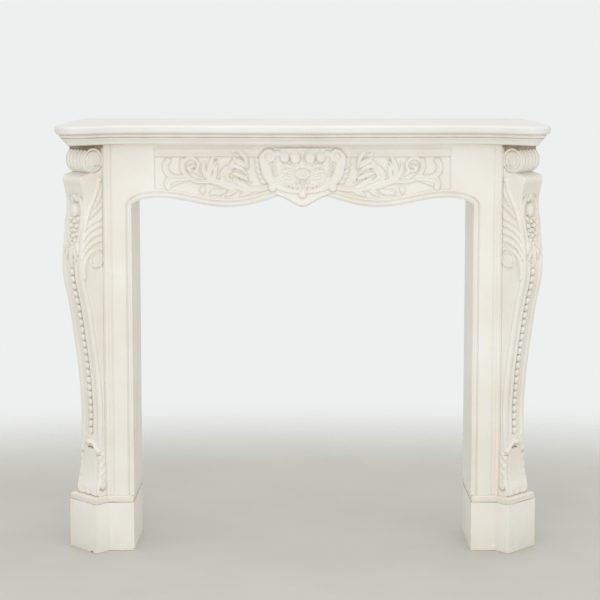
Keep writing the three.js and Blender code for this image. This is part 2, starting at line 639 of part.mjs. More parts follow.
function consoleBody() {
  const step = (z, a, b) => THREE.MathUtils.smoothstep(z, a, b);
  const levels = [];
  for (const [t] of profileKeys) levels.push(consoleFoot + t * consoleLength / 1000);
  const rings = levels.map((z) => {
    const n = profile(z);
    const h = halfAt(z);
    const sunk = step(z, BEADS_END_Z - 8, BEADS_END_Z + 8) * (1 - step(z, BEADS_TOP_Z + 6, BEADS_TOP_Z + 20));
    const half = [[h, n - 3], [h - 5, n], [h - 19, n - 5 * sunk - 0.5], [CHANNEL_HALF + 3, n],
      [CHANNEL_HALF - 0.5, n - 5 * sunk]];
    return [[h, consoleBack], ...half, ...half.slice().reverse().map(([u, m]) => [-u, m]), [-h, consoleBack]]
      .map(([u, m]) => [u, z, m]);
  });
  const flat = rings[0].map(([u, , m]) => new THREE.Vector2(u, m));
  return loft(rings, THREE.ShapeUtils.triangulateShape(flat, []));
}

function consoleRoll() {
  const seg = 11;
  const end = CONSOLE_HALF - 2;
  const reed = (2 * end - 8) / REEDS;
  const cheek = [[end - 2, 20], [end + 1.5, 26], [end + 1, 32], [end - 4, ROLL_R - 2]];
  const profileRings = cheek.map(([u, r]) => [-u, r]);
  for (let i = 0; i < REEDS; i++) {
    const u0 = -end + 4 + i * reed;
    profileRings.push([u0 + reed * 0.5, ROLL_R + 0.5]);
    if (i < REEDS - 1) profileRings.push([u0 + reed, ROLL_R - 3]);
  }
  profileRings.push(...cheek.reverse());
  return loft(profileRings.map(([u, r]) => Array.from({ length: seg }, (_, i) => {
    const a = (i / seg) * Math.PI * 2;
    return [u, ROLL_Z + r * Math.cos(a), ROLL_N + r * Math.sin(a)];
  })));
}

function consoleBeads() {
  const pitch = (BEADS_TOP_Z - BEADS_END_Z) / BEADS;
  return Array.from({ length: BEADS }, (_, i) => {
    const z = BEADS_END_Z + pitch * (i + 0.5);
    const lean = (profile(z + 5) - profile(z - 5)) / 10;
    const rings = [[-0.5, 0.6], [0, 1.05], [0.5, 0.6]].map(([along, r]) => Array.from({ length: 4 }, (_, j) => {
      const a = (j / 4) * Math.PI * 2;
      return [BEAD_R * r * Math.cos(a), z + along * pitch * 0.94,
        profile(z) + lean * along * pitch - 3 + BEAD_R * r * Math.sin(a)];
    }));
    return loft(rings);
  });
}

// Leaves and volutes on one cheek: across is n, height is z, rise is outward along u
function cheekCarving() {
  const onCheek = (n, z, r) => [CONSOLE_HALF + r, z + headLift, n];
  const sweep = [
    [20, 926, -26, 936, 0.2, 15], [21, 898, -38, 922, 0.24, 16], [22, 872, -42, 896, 0.26, 16],
    [22, 846, -44, 868, 0.28, 16], [18, 960, -34, 980, 0.16, 10],
  ];
  const rib = new THREE.CatmullRomCurve3([
    [-28, 1012], [-31, 990], [-12, 962], [4, 930], [14, 890], [19, 850], [21, 800], [18, 760],
  ].map(([n, z]) => new THREE.Vector3(n, z, 0))).getPoints(7).map((v) => [v.x, v.y]);
  const scroll = spiral(-25, SIDE_VOLUTE_Z - headLift, SIDE_VOLUTE_R, SIDE_VOLUTE_R * 0.45, -0.1, 1.05, 9);
  return union([
    ridge(rib, 9, 6, 2, onCheek, cordTaper),
    ridge(scroll, 9, 7, 2, onCheek, cordTaper),
    dome(-25, SIDE_VOLUTE_Z - headLift, 8, 8, 6, onCheek, 6),
    ...sweep.map(([n0, z0, n1, z1, bend, w]) => ridge(path(n0, z0, n1, z1, bend, 3), w, 7, 2, onCheek)),
  ]);
}

// Floral drop on the head, pendant leaf, foot leaf
function faceCarving() {
  const onFront = (u, z, r) => [u, z, profile(z) + r];
  const onHead = (u, z, r) => onFront(u, z + headLift, r);
  const half = union([
    ridge(path(4, 960, 24, 840, -0.22, 4), 11, 9, 2, onHead),
    dome(11, 882, 8, 9, 9, onHead),
    ridge(path(15, 286, 38, 264, 0.2, 2), 12, 7, 2, onFront),
    ridge(path(15, 256, 40, 230, 0.2, 2), 13, 7, 2, onFront),
    ridge(path(15, 222, 41, 192, 0.2, 2), 13, 7, 2, onFront),
  ]);
  const tip = ridge([[-25, 302], [-10, 307], [10, 307], [25, 302]], 22, 15, 3, onFront,
    (t) => [0.35 + 0.65 * Math.sin(Math.PI * t), 0.3 + 0.7 * Math.sin(Math.PI * t)]);
  return union([
    half, mirrorX(half), tip,
    dome(0, 930, 11, 19, 11, onHead, 7),
    dome(0, 852, 9, 11, 10, onHead),
    ridge(path(0, 834, 0, 780, 0, 3), 16, 9, 2, onHead),
    ridge(path(0, 300, 0, 166, 0, 4), 13, 8, 2, onFront),
  ]);
}

function console45() {
  const cheek = cheekCarving();
  const footVolute = (() => {
    const rings = [[12, -3], [12, 2], [8, 5], [3, 3]].map(([r, h]) => Array.from({ length: 9 }, (_, i) => {
      const a = (i / 9) * Math.PI * 2;
      return [FOOT_HALF + h, 185 + r * Math.cos(a), -35 + r * Math.sin(a)];
    }));
    return loft(rings);
  })();
  const block = slab([[-HEAD_BLOCK_HALF, ROLL_Z], [HEAD_BLOCK_HALF, ROLL_Z], [HEAD_BLOCK_HALF, bodyTop],
    [-HEAD_BLOCK_HALF, bodyTop]], consoleBack, HEAD_BLOCK_N);
  let body = union([consoleBody(), ...consoleBeads(), consoleRoll(), block, cheek, mirrorX(cheek),
    faceCarving(), footVolute, mirrorX(footVolute)]);
  const keep = slab([[-70, consoleFoot], [70, consoleFoot], [70, bodyTop], [-70, bodyTop]], consoleBack, 90);
  body = body.intersect(keep);
  return toCorner(filled(body));
}

const bracket = console45();

const mantel = new THREE.Group();
const pieces = [
  ['plinth_block', block, CREAM, 0.55], ['plinth_cap', cap, CREAM, 0.55], ['jamb', jamb, CREAM, 0.5],
  ['return', returnBoard, CREAM, 0.55], ['corner_board', cornerBoard, CREAM, 0.55],
  ['side_board', sideBoard, CREAM, 0.55], ['console', bracket, CREAM, 0.5],
];
for (const [name, body, tone, rough] of pieces) {
  mantel.add(meshOf(body, `${name}_right`, paint(tone, rough)));
  mantel.add(meshOf(mirrorX(body), `${name}_left`, paint(tone, rough)));
}
mantel.add(meshOf(frieze, 'frieze', paint(CREAM, 0.5)));
mantel.add(meshOf(bed, 'bed_moulding', paint(IVORY, 0.5)));
mantel.add(meshOf(shelf, 'shelf', paint(IVORY, 0.4)));

export default mantel;
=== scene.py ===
import math

import bpy
import numpy as np
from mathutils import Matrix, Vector


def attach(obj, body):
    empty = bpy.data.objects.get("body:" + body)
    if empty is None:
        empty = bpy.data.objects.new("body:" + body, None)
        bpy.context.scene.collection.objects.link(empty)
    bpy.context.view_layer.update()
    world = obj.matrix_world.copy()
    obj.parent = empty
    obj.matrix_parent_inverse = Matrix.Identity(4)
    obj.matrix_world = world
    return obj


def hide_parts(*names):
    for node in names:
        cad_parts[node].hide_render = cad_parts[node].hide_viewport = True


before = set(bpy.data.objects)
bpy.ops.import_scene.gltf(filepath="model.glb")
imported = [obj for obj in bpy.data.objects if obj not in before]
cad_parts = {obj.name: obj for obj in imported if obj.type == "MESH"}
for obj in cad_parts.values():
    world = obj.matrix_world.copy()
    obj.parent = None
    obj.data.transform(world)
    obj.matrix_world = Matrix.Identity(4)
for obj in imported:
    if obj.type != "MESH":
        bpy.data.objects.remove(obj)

bl_info = {
    "name": "Carved Mantel",
    "version": (1, 0, 0),
    "blender": (4, 5, 0),
    "location": "3D View > Sidebar > Mantel",
    "description": "Carved and painted fireplace mantel with 45 degree consoles",
    "category": "Add Mesh",
}

# Lengths in the drawing functions are millimetres; properties and meshes are metres.
HALF_PI = math.pi / 2
DIAG = math.sqrt(0.5)
GAP = 0.3  # between neighbouring pieces
CLOSED_JOINT = 0.04  # what is left of the gap between jamb and frieze
CORNER_X = 595.0  # where the legs' diagonal starts, in the plane of the face
CANT_SETBACK = 46.0  # corner board behind that point, along the diagonal
CONSOLE_BACK = GAP - CANT_SETBACK
BODY_DROP = 112.0  # top of a console's body below the shelf's top
ARRIS_ROUND = 3.2  # rounding of a console's front arrises
ROLL_DROP = 97.0  # roll's axis below the shelf's top
ROLL_N = -19.0  # roll's axis along the diagonal
REEDS = 5
BLOCK_HALF, BLOCK_N = 37.0, 1.0  # plain block over the roll: half width and front
BEADS, BEADS_FROM, BEADS_TO = 23, 316.0, 776.0
ARCH, BELLY, CUSP, TIP = (385.0, 962.0), (200.0, 937.0), (64.0, 966.0), (0.0, 937.0)  # the opening's head
PLAN_STEPS = 162  # points along the shelf's half outline
# the last of these starts the corner board's dark band, partly stain and partly painted shade of the gap under the
# shelf
PLINTH_SEAM, CAP_FROM, STAIN_AND_SHADE_FROM = 0.1341, 0.1345, 1.092  # heights of painted bands, in metres


def smooth(t, a=0.0, b=1.0):
    """Smooth step of t from a to b."""
    t = np.clip((t - a) / (b - a), 0, 1)
    return t * t * (3 - 2 * t)


def bell(t, at, width):
    """Bell curve, 1 at its middle."""
    return np.exp(-(((t - at) / width) ** 2))


def swell(t):
    """Half a sine wave from 0 to 1."""
    return np.sin(math.pi * np.clip(t, 0, 1))


def spline(points, steps=40):
    """Catmull-Rom curve through the points, ends included."""
    p = np.asarray(points, float)
    if len(p) == 2:
        return p[0] + (p[1] - p[0]) * np.linspace(0, 1, steps)[:, None]
    p = np.vstack([2 * p[0] - p[1], p, 2 * p[-1] - p[-2]])
    t = np.linspace(0, len(p) - 3 - 1e-9, steps)
    i = t.astype(int)
    f = (t - i)[:, None]
    a, b, c, d = p[i], p[i + 1], p[i + 2], p[i + 3]
    return 0.5 * (2 * b + (c - a) * f + (2 * a - 5 * b + 4 * c - d) * f**2 + (3 * b - a - 3 * c + d) * f**3)


def spiral(cx, cz, r0, r1, start, turns, steps=60, squash=1.0):
    """Points on a spiral from radius r0 to r1."""
    t = np.linspace(0, 1, steps)
    a = start + turns * 2 * math.pi * t
    r = r0 + (r1 - r0) * t**0.8
    return np.stack([cx + r * np.cos(a) * squash, cz + r * np.sin(a)], 1)


def path_of(points, steps):
    """A list of points is drawn through smoothly; an array is a path already."""
    return points if isinstance(points, np.ndarray) else spline(points, steps)


# Tapers: share of the width and of the height at t along a stroke
LEAF = lambda t: (swell(0.14 + 0.8 * t), 0.55 + 0.45 * np.sin(math.pi * (0.1 + 0.75 * t)))
CORD = lambda t: (1 - 0.35 * t, 1 - 0.15 * t)
EVEN = lambda t: (np.ones_like(t), np.ones_like(t))
DROP = lambda t: (swell(0.2 + 0.75 * t) ** 0.8, 1 - 0.5 * t)


class Relief:
    """Heights over scattered drawing points (a, b); strokes, domes and cuts are laid on them."""

    def __init__(self, a, b, base=None):
        self.a, self.b = a, b
        self.h = np.zeros_like(a) if base is None else base.astype(float)
        # pooled glaze, with painted shadow where a call lays it
        self.stain_and_painted_shade = np.zeros_like(self.h)

    def ink(self, points, width, amount):
        """Darkens along a line: pooled glaze, and painted shadow where a call lays it under an overhang."""
        path = path_of(points, 24)
        m, d, _, _ = self.near(path, width * 2)
        self.stain_and_painted_shade[m] = np.maximum(self.stain_and_painted_shade[m], amount * bell(d, 0, width * 0.6))

    def dots(self, spots, size, amount):
        """Pools glaze in small pits."""
        for x, z in spots:
            q = np.hypot(self.a - x, self.b - z) / size
            self.stain_and_painted_shade = np.maximum(self.stain_and_painted_shade, amount * bell(q, 0, 1))

    def near(self, path, reach):
        """Points near a path: their mask, distance, place along it and side of it."""
        lo, hi = path.min(0) - reach, path.max(0) + reach
        m = (self.a > lo[0]) & (self.a < hi[0]) & (self.b > lo[1]) & (self.b < hi[1])
        pa, pb = self.a[m], self.b[m]
        best = np.full(pa.shape, 1e9)
        along = np.zeros_like(pa)
        side = np.zeros_like(pa)
        n = len(path) - 1
        for k in range(n):
            (x0, z0), (x1, z1) = path[k], path[k + 1]
            dx, dz = x1 - x0, z1 - z0
            l2 = dx * dx + dz * dz + 1e-9
            t = np.clip(((pa - x0) * dx + (pb - z0) * dz) / l2, 0, 1)
            ex, ez = pa - x0 - t * dx, pb - z0 - t * dz
            d = ex * ex + ez * ez
            c = d < best
            best[c] = d[c]
            along[c] = ((k + t) / n)[c]
            side[c] = np.sign(dx * ez - dz * ex)[c]
        return m, np.sqrt(best), along, side

    def stroke(self, points, width, rise, taper=LEAF, base=0.0, edge=0.4, vein=0.0, lean=0.0, steps=40):
        """Raised tapering stroke: domed across, with a sunk vein or a lean to one side."""
        path = path_of(points, steps)
        m, d, t, side = self.near(path, width)
        w, up = taper(t)
        s = d / np.maximum(width / 2 * w, 0.6)
        p = edge + (1 - edge) * np.sqrt(np.clip(1 - s * s, 0, 1))
        p = p * (1 + lean * side * np.clip(s, 0, 1)) - vein * bell(s, 0, 0.28)
        p = p * (1 - smooth(s, 0.86, 1.04))
        top = base + rise * up * p
        self.h[m] = np.where(s < 1.04, np.maximum(self.h[m], top), self.h[m])

    def cut(self, points, width, depth, taper=LEAF, steps=30):
        """V-tool line."""
        path = path_of(points, steps)
        m, d, t, _ = self.near(path, width * 2)
        w, up = taper(t)
        s = d / np.maximum(width / 2 * w, 0.3)
        self.h[m] = self.h[m] - depth * up * bell(s, 0, 1)

    def oval(self, x, z, rx, rz, turn=0.0):
        """Distance from an oval's centre, 1 on its rim."""
        c, s = math.cos(turn), math.sin(turn)
        da, db = self.a - x, self.b - z
        return np.hypot((da * c + db * s) / rx, (db * c - da * s) / rz)

    def dome(self, x, z, rx, rz, rise, base=0.0, edge=0.3, turn=0.0):
        """Rounded boss."""
        q = self.oval(x, z, rx, rz, turn)
        top = base + rise * (edge + (1 - edge) * np.sqrt(np.clip(1 - q * q, 0, 1))) * (1 - smooth(q, 0.88, 1.06))
        self.h = np.where(q < 1.06, np.maximum(self.h, top), self.h)

    def moat(self, x, z, rx, rz, width, depth):
        """Sunk ring."""
        q = self.oval(x, z, rx, rz)
        self.h = self.h - depth * bell(q, 1, width / 2 / min(rx, rz))


def blur(h, passes=1):
    """Softens a grid of heights."""
    for _ in range(passes):
        p = np.pad(h, 1, mode="edge")
        h = (p[:-2, 1:-1] + p[2:, 1:-1] + p[1:-1, :-2] + p[1:-1, 2:] + 2 * h) / 6
    return h


def recess_of(h, scale=2.2):
    """0 on crowns and flats, up to 1 in the bottom of the carving."""
    return np.clip((blur(h, 14) - h) / scale, 0, 1) * 0.65 + np.clip((blur(h, 60) - h) / (scale * 2.2), 0, 1) * 0.25


def mirrored(half, sign=1):
    """Full width of a grid whose first column is the middle."""
    return np.hstack([sign * half[:, :0:-1], half])


class Sheets:
    """Grid sheets gathered into one mesh; neighbouring sheets keep a crisp edge between them."""

    def __init__(self):
        self.co, self.quads, self.recess_and_painted_shade = [], [], []
        self.count = 0

    def add(self, p, recess_and_painted_shade=0.0, wrap=False, flip=False):
        """Adds a grid; its recess value, the glaze with any painted shade, is one value, one for each row or one for
        each point.
        """
        p, recess_and_painted_shade = np.asarray(p, float), np.asarray(recess_and_painted_shade, float)
        rows, cols = p.shape[:2]
        idx = np.arange(rows * cols).reshape(rows, cols) + self.count
        if wrap:
            idx = np.hstack([idx, idx[:, :1]])
        q = np.stack([idx[:-1, :-1], idx[:-1, 1:], idx[1:, 1:], idx[1:, :-1]], -1).reshape(-1, 4)
        if flip:
            q = q[:, ::-1]
        self.co.append(p.reshape(-1, 3))
        self.quads.append(q)
        self.recess_and_painted_shade.append(np.broadcast_to(recess_and_painted_shade[:, None] if recess_and_painted_shade.ndim == 1 else recess_and_painted_shade, (rows, cols)).ravel())
        self.count += rows * cols

    def build(self, name, material):
        """The gathered mesh as an object in metres."""
        co = np.vstack(self.co) / 1000
        quads = np.vstack(self.quads)
        mesh = bpy.data.meshes.new(name)
        mesh.vertices.add(len(co))
        mesh.vertices.foreach_set("co", co.astype(np.float32).ravel())
        mesh.loops.add(quads.size)
        mesh.loops.foreach_set("vertex_index", quads.astype(np.int32).ravel())
        mesh.polygons.add(len(quads))
        mesh.polygons.foreach_set("loop_start", np.arange(0, quads.size, 4, dtype=np.int32))
        mesh.polygons.foreach_set("use_smooth", np.ones(len(quads), bool))
        mesh.update(calc_edges=True)
        mesh.validate()
        # per-point glaze and painted shade, read by the paint
        layer = mesh.attributes.new("recess_and_painted_shade", "FLOAT", "POINT")
        layer.data.foreach_set("value", np.concatenate(self.recess_and_painted_shade).astype(np.float32))
        obj = bpy.data.objects.new(name, mesh)
        bpy.context.scene.collection.objects.link(obj)
        mesh.materials.append(material)
        return obj


def shown(obj, node):
    """Lets a carved piece stand for its solid."""
    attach(obj, "root")
    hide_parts(node)
    return obj


# Sizes and finish


class MantelSizes(bpy.types.PropertyGroup):
    """Sizes of the mantel's pieces."""

    def _mm(default, name, text):
        return bpy.props.FloatProperty(name=name, description=text, default=default / 1000, unit="LENGTH", precision=4)

    depth: _mm(315, "Shelf depth", "Wall to the projecting shelf corners")
    width: _mm(1300, "Shelf width", "Widest point of the shelf")
    height: _mm(1160, "Height", "Floor to shelf top")
    shelf_thickness: _mm(23, "Shelf thickness", "Thickness of the shelf board")
    bed_height: _mm(30, "Bed moulding", "Height of the moulding under the shelf")
    face_depth: _mm(197, "Face depth", "Wall to the flat face of jambs and frieze")
    opening: _mm(912, "Opening width", "Clear width between the legs")
    spring: _mm(938, "Springing", "Height where the opening's head begins")
    board: _mm(22, "Board", "Thickness of the boards")
    plinth_top: _mm(151.6, "Plinth", "Height of the plinth with its cap")
    joint: _mm(925, "Frieze joint", "Height of the joint between jamb and frieze")
    panel_half: _mm(394, "Panel half width", "Half width of the carved panel")
    panel_top: _mm(1072, "Panel top", "Height of the carved panel's top")
    panel_depth: _mm(4, "Panel depth", "Depth of the carved panel's floor")
    leaf_rise: _mm(10, "Leaf rise", "Height of the leaf carving above the panel floor")
    console_half: _mm(40, "Console half width", "Half width of the consoles")
    foot_half: _mm(44, "Foot half width", "Half width of a console's foot")
    roll_radius: _mm(34, "Roll radius", "Radius of the scrolled head")
    bead_radius: _mm(7.5, "Bead radius", "Radius of the beads on the consoles")


class MantelFinish(bpy.types.PropertyGroup):
    """Colours of the painted wood."""

    def _tone(default, name, text):
        return bpy.props.FloatVectorProperty(name=name, description=text, default=default, subtype="COLOR", size=3,
            min=0, max=1)

    paint: _tone((0.785, 0.745, 0.672), "Paint", "Cream body colour")
    paint_pale: _tone((0.835, 0.812, 0.762), "Pale paint", "Paler passages and worn edges")
    paint_warm: _tone((0.735, 0.66, 0.55), "Warm paint", "Warmer, thinner passages")
    # the glaze's brown is also the colour of the painted shade
    glaze_and_painted_shade: _tone((0.36, 0.26, 0.155), "Glaze", "Brown glaze left in the recesses")
    # the shelf's cream is darker than the body's to offset the stronger light on the shelf: painted shade
    shelf: _tone((0.725, 0.711, 0.668), "Shelf paint", "Paler paint on the shelf")
    wood: _tone((0.15, 0.10, 0.048), "Bare wood", "Dark wood where paint has chipped off")
    floor: _tone((0.575, 0.56, 0.515), "Floor", "Plain pale floor")
    # the strength also sets how dark the painted shade is
    glaze_and_shade_strength: bpy.props.FloatProperty(name="Glaze strength", description="How dark the recesses are",
        default=0.14, min=0, max=2)
    roughness: bpy.props.FloatProperty(name="Roughness", description="Roughness of the paint", default=0.5, min=0,
                                       max=1)


def sizes():
    """The size properties in millimetres."""
    group = bpy.context.scene.mantel_sizes
    return {k: getattr(group, k) * 1000 for k in MantelSizes.__annotations__}


# Materials


class Nodes:
    """Small helper that adds and links shader nodes."""

    def __init__(self, name):
        self.mat = bpy.data.materials.new(name)
        self.mat.use_nodes = True
        self.tree = self.mat.node_tree
        self.tree.nodes.clear()

    def add(self, kind, **inputs):
        node = self.tree.nodes.new("ShaderNode" + kind)
        for key, value in inputs.items():
            if hasattr(node, key):
                setattr(node, key, value)
                continue
            socket = node.inputs[int(key[1]) if key in ("i0", "i1") else key.replace("_", " ")]
            if isinstance(value, bpy.types.NodeSocket):
                self.tree.links.new(value, socket)
            else:
                socket.default_value = value
        return node

    def math(self, op, a, b=0.0, clamp=False):
        return self.add("Math", operation=op, use_clamp=clamp, i0=a, i1=b).outputs[0]

    def times(self, a, b, clamp=False):
        return self.math("MULTIPLY", a, b, clamp)

    def plus(self, a, b):
        return self.math("ADD", a, b)

    def rest(self, a):
        """What is left of 1."""
        return self.math("SUBTRACT", 1.0, a)

    def ramp(self, value, a, b):
        """Smooth step of value from a to b."""
        node = self.add("MapRange", Value=value)
        node.interpolation_type = "SMOOTHSTEP"
        node.inputs["From Min"].default_value = a
        node.inputs["From Max"].default_value = b
        return node.outputs[0]

    def mix(self, factor, a, b):
        node = self.add("Mix", data_type="RGBA", blend_type="MIX")
        for socket, value in ((node.inputs[0], factor), (node.inputs[6], a), (node.inputs[7], b)):
            if isinstance(value, bpy.types.NodeSocket):
                self.tree.links.new(value, socket)
            elif isinstance(value, float):
                socket.default_value = value
            else:
                socket.default_value = (*value, 1)
        return node.outputs[2]

    def noise(self, vector, scale, detail=3.0, rough=0.55):
        return self.add("TexNoise", Vector=vector, Scale=scale, Detail=detail, Roughness=rough).outputs[0]

    def stretched(self, vector, x, y, z):
        return self.add("Mapping", Vector=vector, Scale=(x, y, z)).outputs[0]


def painted(name, base, pale, warm, grain, chips=False, stain_and_painted_shade=False, gloss=0.0):
    """Brushed cream paint with a brown glaze wiped into the recesses, and the same brown used as painted shade where
    the mesh's value carries it.
    """
    finish = bpy.context.scene.mantel_finish
    brown, wood = tuple(finish.glaze_and_painted_shade), tuple(finish.wood)
    n = Nodes(name)
    place = n.add("TexCoord").outputs["Object"]
    cloud = n.noise(place, 5.0, 3.0)
    patch = n.noise(place, 23.0, 4.0, 0.6)
    streak = n.noise(n.stretched(place, *grain), 6.0, 3.0, 0.6)
    grit = n.noise(place, 420.0, 2.0)
    colour = n.mix(n.ramp(cloud, 0.3, 0.75), base, pale)
    colour = n.mix(n.times(n.ramp(patch, 0.5, 0.78), 0.16), colour, warm)
    colour = n.mix(n.times(n.ramp(streak, 0.52, 0.8), 0.16), colour, warm)
    # a thin wash in every hollow, pooled glaze in the deepest, bare wood where it is inked in; the mesh's value also
    # carries painted shade, a painted highlight and painted shadow, which take the same glaze and wood
    recess_and_painted_shade = n.add("Attribute", attribute_name="recess_and_painted_shade").outputs["Fac"]
    hollow = n.add("AmbientOcclusion", samples=8, Distance=0.016)
    tight = n.times(n.ramp(n.rest(hollow.outputs["AO"]), 0.35, 0.95), 0.4)
    uneven = n.plus(0.55, n.times(patch, 0.8))
    # glaze and painted shade from the mesh, plus glaze where the occlusion is tight
    dirt_and_painted_shade = n.times(n.plus(n.times(recess_and_painted_shade, 0.95), tight), uneven, clamp=True)
    wash = n.times(n.math("POWER", dirt_and_painted_shade, 1.6), finish.glaze_and_shade_strength)
    deep = n.times(recess_and_painted_shade, uneven)
    glaze_and_painted_shade = n.math("MAXIMUM", wash, n.times(n.ramp(deep, 0.85, 1.9), 0.75), clamp=True)
    colour = n.mix(glaze_and_painted_shade, colour, brown)
    colour = n.mix(n.times(n.ramp(grit, 0.62, 0.8), 0.12), colour, warm)
    colour = n.mix(n.times(n.ramp(deep, 2.0, 3.2), 0.85), colour, wood)
    if chips or stain_and_painted_shade:
        z = n.add("SeparateXYZ", Vector=place).outputs[2]
    if chips:
        low = n.rest(n.ramp(z, 0.002, 0.02))
        flake = n.noise(place, 55.0, 4.0, 0.7)
        chip = n.times(n.ramp(n.plus(flake, n.times(low, 0.1)), 0.735, 0.75), low, clamp=True)
        scuff = n.times(n.rest(n.ramp(z, 0.0, 0.06)), n.ramp(patch, 0.4, 0.7))
        colour = n.mix(n.times(scuff, 0.35), colour, warm)
        colour = n.mix(chip, colour, wood)
        colour = n.mix(n.times(n.ramp(z, CAP_FROM, CAP_FROM + 0.002), 0.45), colour, warm)
        seam = n.math("ABSOLUTE", n.math("SUBTRACT", z, PLINTH_SEAM))
        seam = n.times(n.rest(n.ramp(seam, 0.0003, 0.0022)), n.ramp(patch, 0.2, 0.6))
        colour = n.mix(n.times(seam, 0.5), colour, brown)
    # dark brown band along the corner board's top: partly stain, partly painted shade of the gap under the shelf
    if stain_and_painted_shade:
        colour = n.mix(n.times(n.ramp(z, STAIN_AND_SHADE_FROM, STAIN_AND_SHADE_FROM + 0.008), 0.85), colour, brown)
    rough = n.plus(n.plus(finish.roughness - gloss - 0.06, n.times(patch, 0.16)), n.times(glaze_and_painted_shade, 0.12))
    relief = n.plus(n.times(streak, 0.8), n.plus(n.times(grit, 0.12), n.times(patch, 0.5)))
    bump = n.add("Bump", Height=relief, Strength=0.28, Distance=0.0009).outputs[0]
    shader = n.add("BsdfPrincipled", Base_Color=colour, Roughness=rough, Normal=bump)
    shader.inputs["Specular IOR Level"].default_value = 0.42
    out = n.add("OutputMaterial")
    n.tree.links.new(shader.outputs[0], out.inputs[0])
    return n.mat


PAINTS = {
    "paint_carved": ((1.2, 1.2, 1.0), {}),
    "paint_upright": ((14, 14, 0.7), {}),
    "paint_corner": ((14, 14, 0.7), {"stain_and_painted_shade": True}),
    "paint_plinth": ((9, 9, 1.2), {"chips": True}),
}


def material(kind):
    """The mantel's paints, made once each; PAINTS holds the brush's grain and what a paint has of its own."""
    if kind in bpy.data.materials:
        return bpy.data.materials[kind]
    f = bpy.context.scene.mantel_finish
    if kind == "paint_shelf":
        pale = tuple(c * 0.7 + 0.3 * 0.86 for c in f.shelf)
        return painted(kind, tuple(f.shelf), pale, tuple(f.paint), (0.7, 14, 14), gloss=0.14)
    grain, own = PAINTS[kind]
    return painted(kind, tuple(f.paint), tuple(f.paint_pale), tuple(f.paint_warm), grain, **own)


# Shelf and bed moulding


def shelf_plan(s):
    """Right half of the shelf's outline as (x, distance from the wall), from the middle to the wall."""
    half, deep = s["width"] / 2, s["depth"]
    flank, corner, centre, at_wall = (425, 264), 598, 281, 612
    over, rise, run = half - corner, deep - flank[1], corner - flank[0]
    key = [
        (-212.5, centre - 7.65), (0, centre), (212.5, centre - 7.65), flank,
        (flank[0] + run * 0.5, flank[1] + rise * 0.24), (flank[0] + run * 0.8, flank[1] + rise * 0.74), (corner, deep),
        (corner + over * 0.6, deep - rise * 0.2), (half - over * 0.06, deep - rise * 0.75), (half, 240),
        (half * 0.7 + at_wall * 0.3, 144), (half * 0.2 + at_wall * 0.8, 60), (at_wall, 0),
    ]
    p = spline(key, PLAN_STEPS)
    p = p[p[:, 0] >= 0]
    first = p[0].copy()
    first[0] = 0
    p = np.vstack([first, p[1:]])
    p[-1, 1] = 0
    return p * [half / p[:, 0].max(), deep / p[:, 1].max()]


def shelf_rings(s, profile):
    """The outline set in by each step of a profile, as level rings."""
    half = shelf_plan(s)
    t = np.gradient(half, axis=0)
    t[0] = (1, 0)
    nrm = np.stack([-t[:, 1], t[:, 0]], 1) / np.linalg.norm(t, axis=1)[:, None]
    rings = []
    for by, z in profile:
        p = half - nrm * by
        p[0, 0] = 0
        p[-1] = (half[-1, 0] - by, 0)
        full = np.vstack([p[::-1] * [-1, 1], p[1:]])
        rings.append(np.stack([full[:, 0], s["depth"] / 2 - full[:, 1], np.full(len(full), z)], 1))
    return np.array(rings)


def level_fill(ring, reach=150.0):
    """Flat band from a level ring, closed along the back, to a line along its middle."""
    rim = np.vstack([ring, np.linspace(ring[-1], ring[0], 40)[1:-1]])
    core = rim * [1, 0, 1]
    core[:, 0] = np.clip(rim[:, 0], ring[0, 0] + reach, ring[-1, 0] - reach)
    return np.stack([rim, core])


def moulded(s, name, profile, shades, node, mat, ends=0.0):
    """Profile is (inset, height) from underside to top; shades is its glaze and painted shade, and ends adds a dark
    seam with painted shade at the ends.
    """
    rings = shelf_rings(s, profile)
    sheets = Sheets()
    low_edge = 1 - smooth(rings[..., 2] - rings[..., 2].min(), 0.5, 2.5)
    sheets.add(rings, shades[:, None] + ends * low_edge * smooth(np.abs(rings[..., 0]), 430, 500))
    sheets.add(level_fill(rings[0]), shades[0], wrap=True, flip=True)
    sheets.add(level_fill(rings[-1]), wrap=True)
    sheets.add(rings[:, [0, -1]], shades, flip=True)
    return shown(sheets.build(name, mat), node)


def arc_profile(points, steps):
    """Rounds each inner corner of a profile a little by smoothing between its points."""
    p = np.asarray(points, float)
    t = np.linspace(0, 1, steps, endpoint=False)[:, None]
    fine = np.vstack([*(a + (b - a) * t for a, b in zip(p[:-1], p[1:])), p[-1:]])
    for _ in range(2):
        fine[1:-1] = (fine[:-2] + 2 * fine[1:-1] + fine[2:]) / 4
    return fine


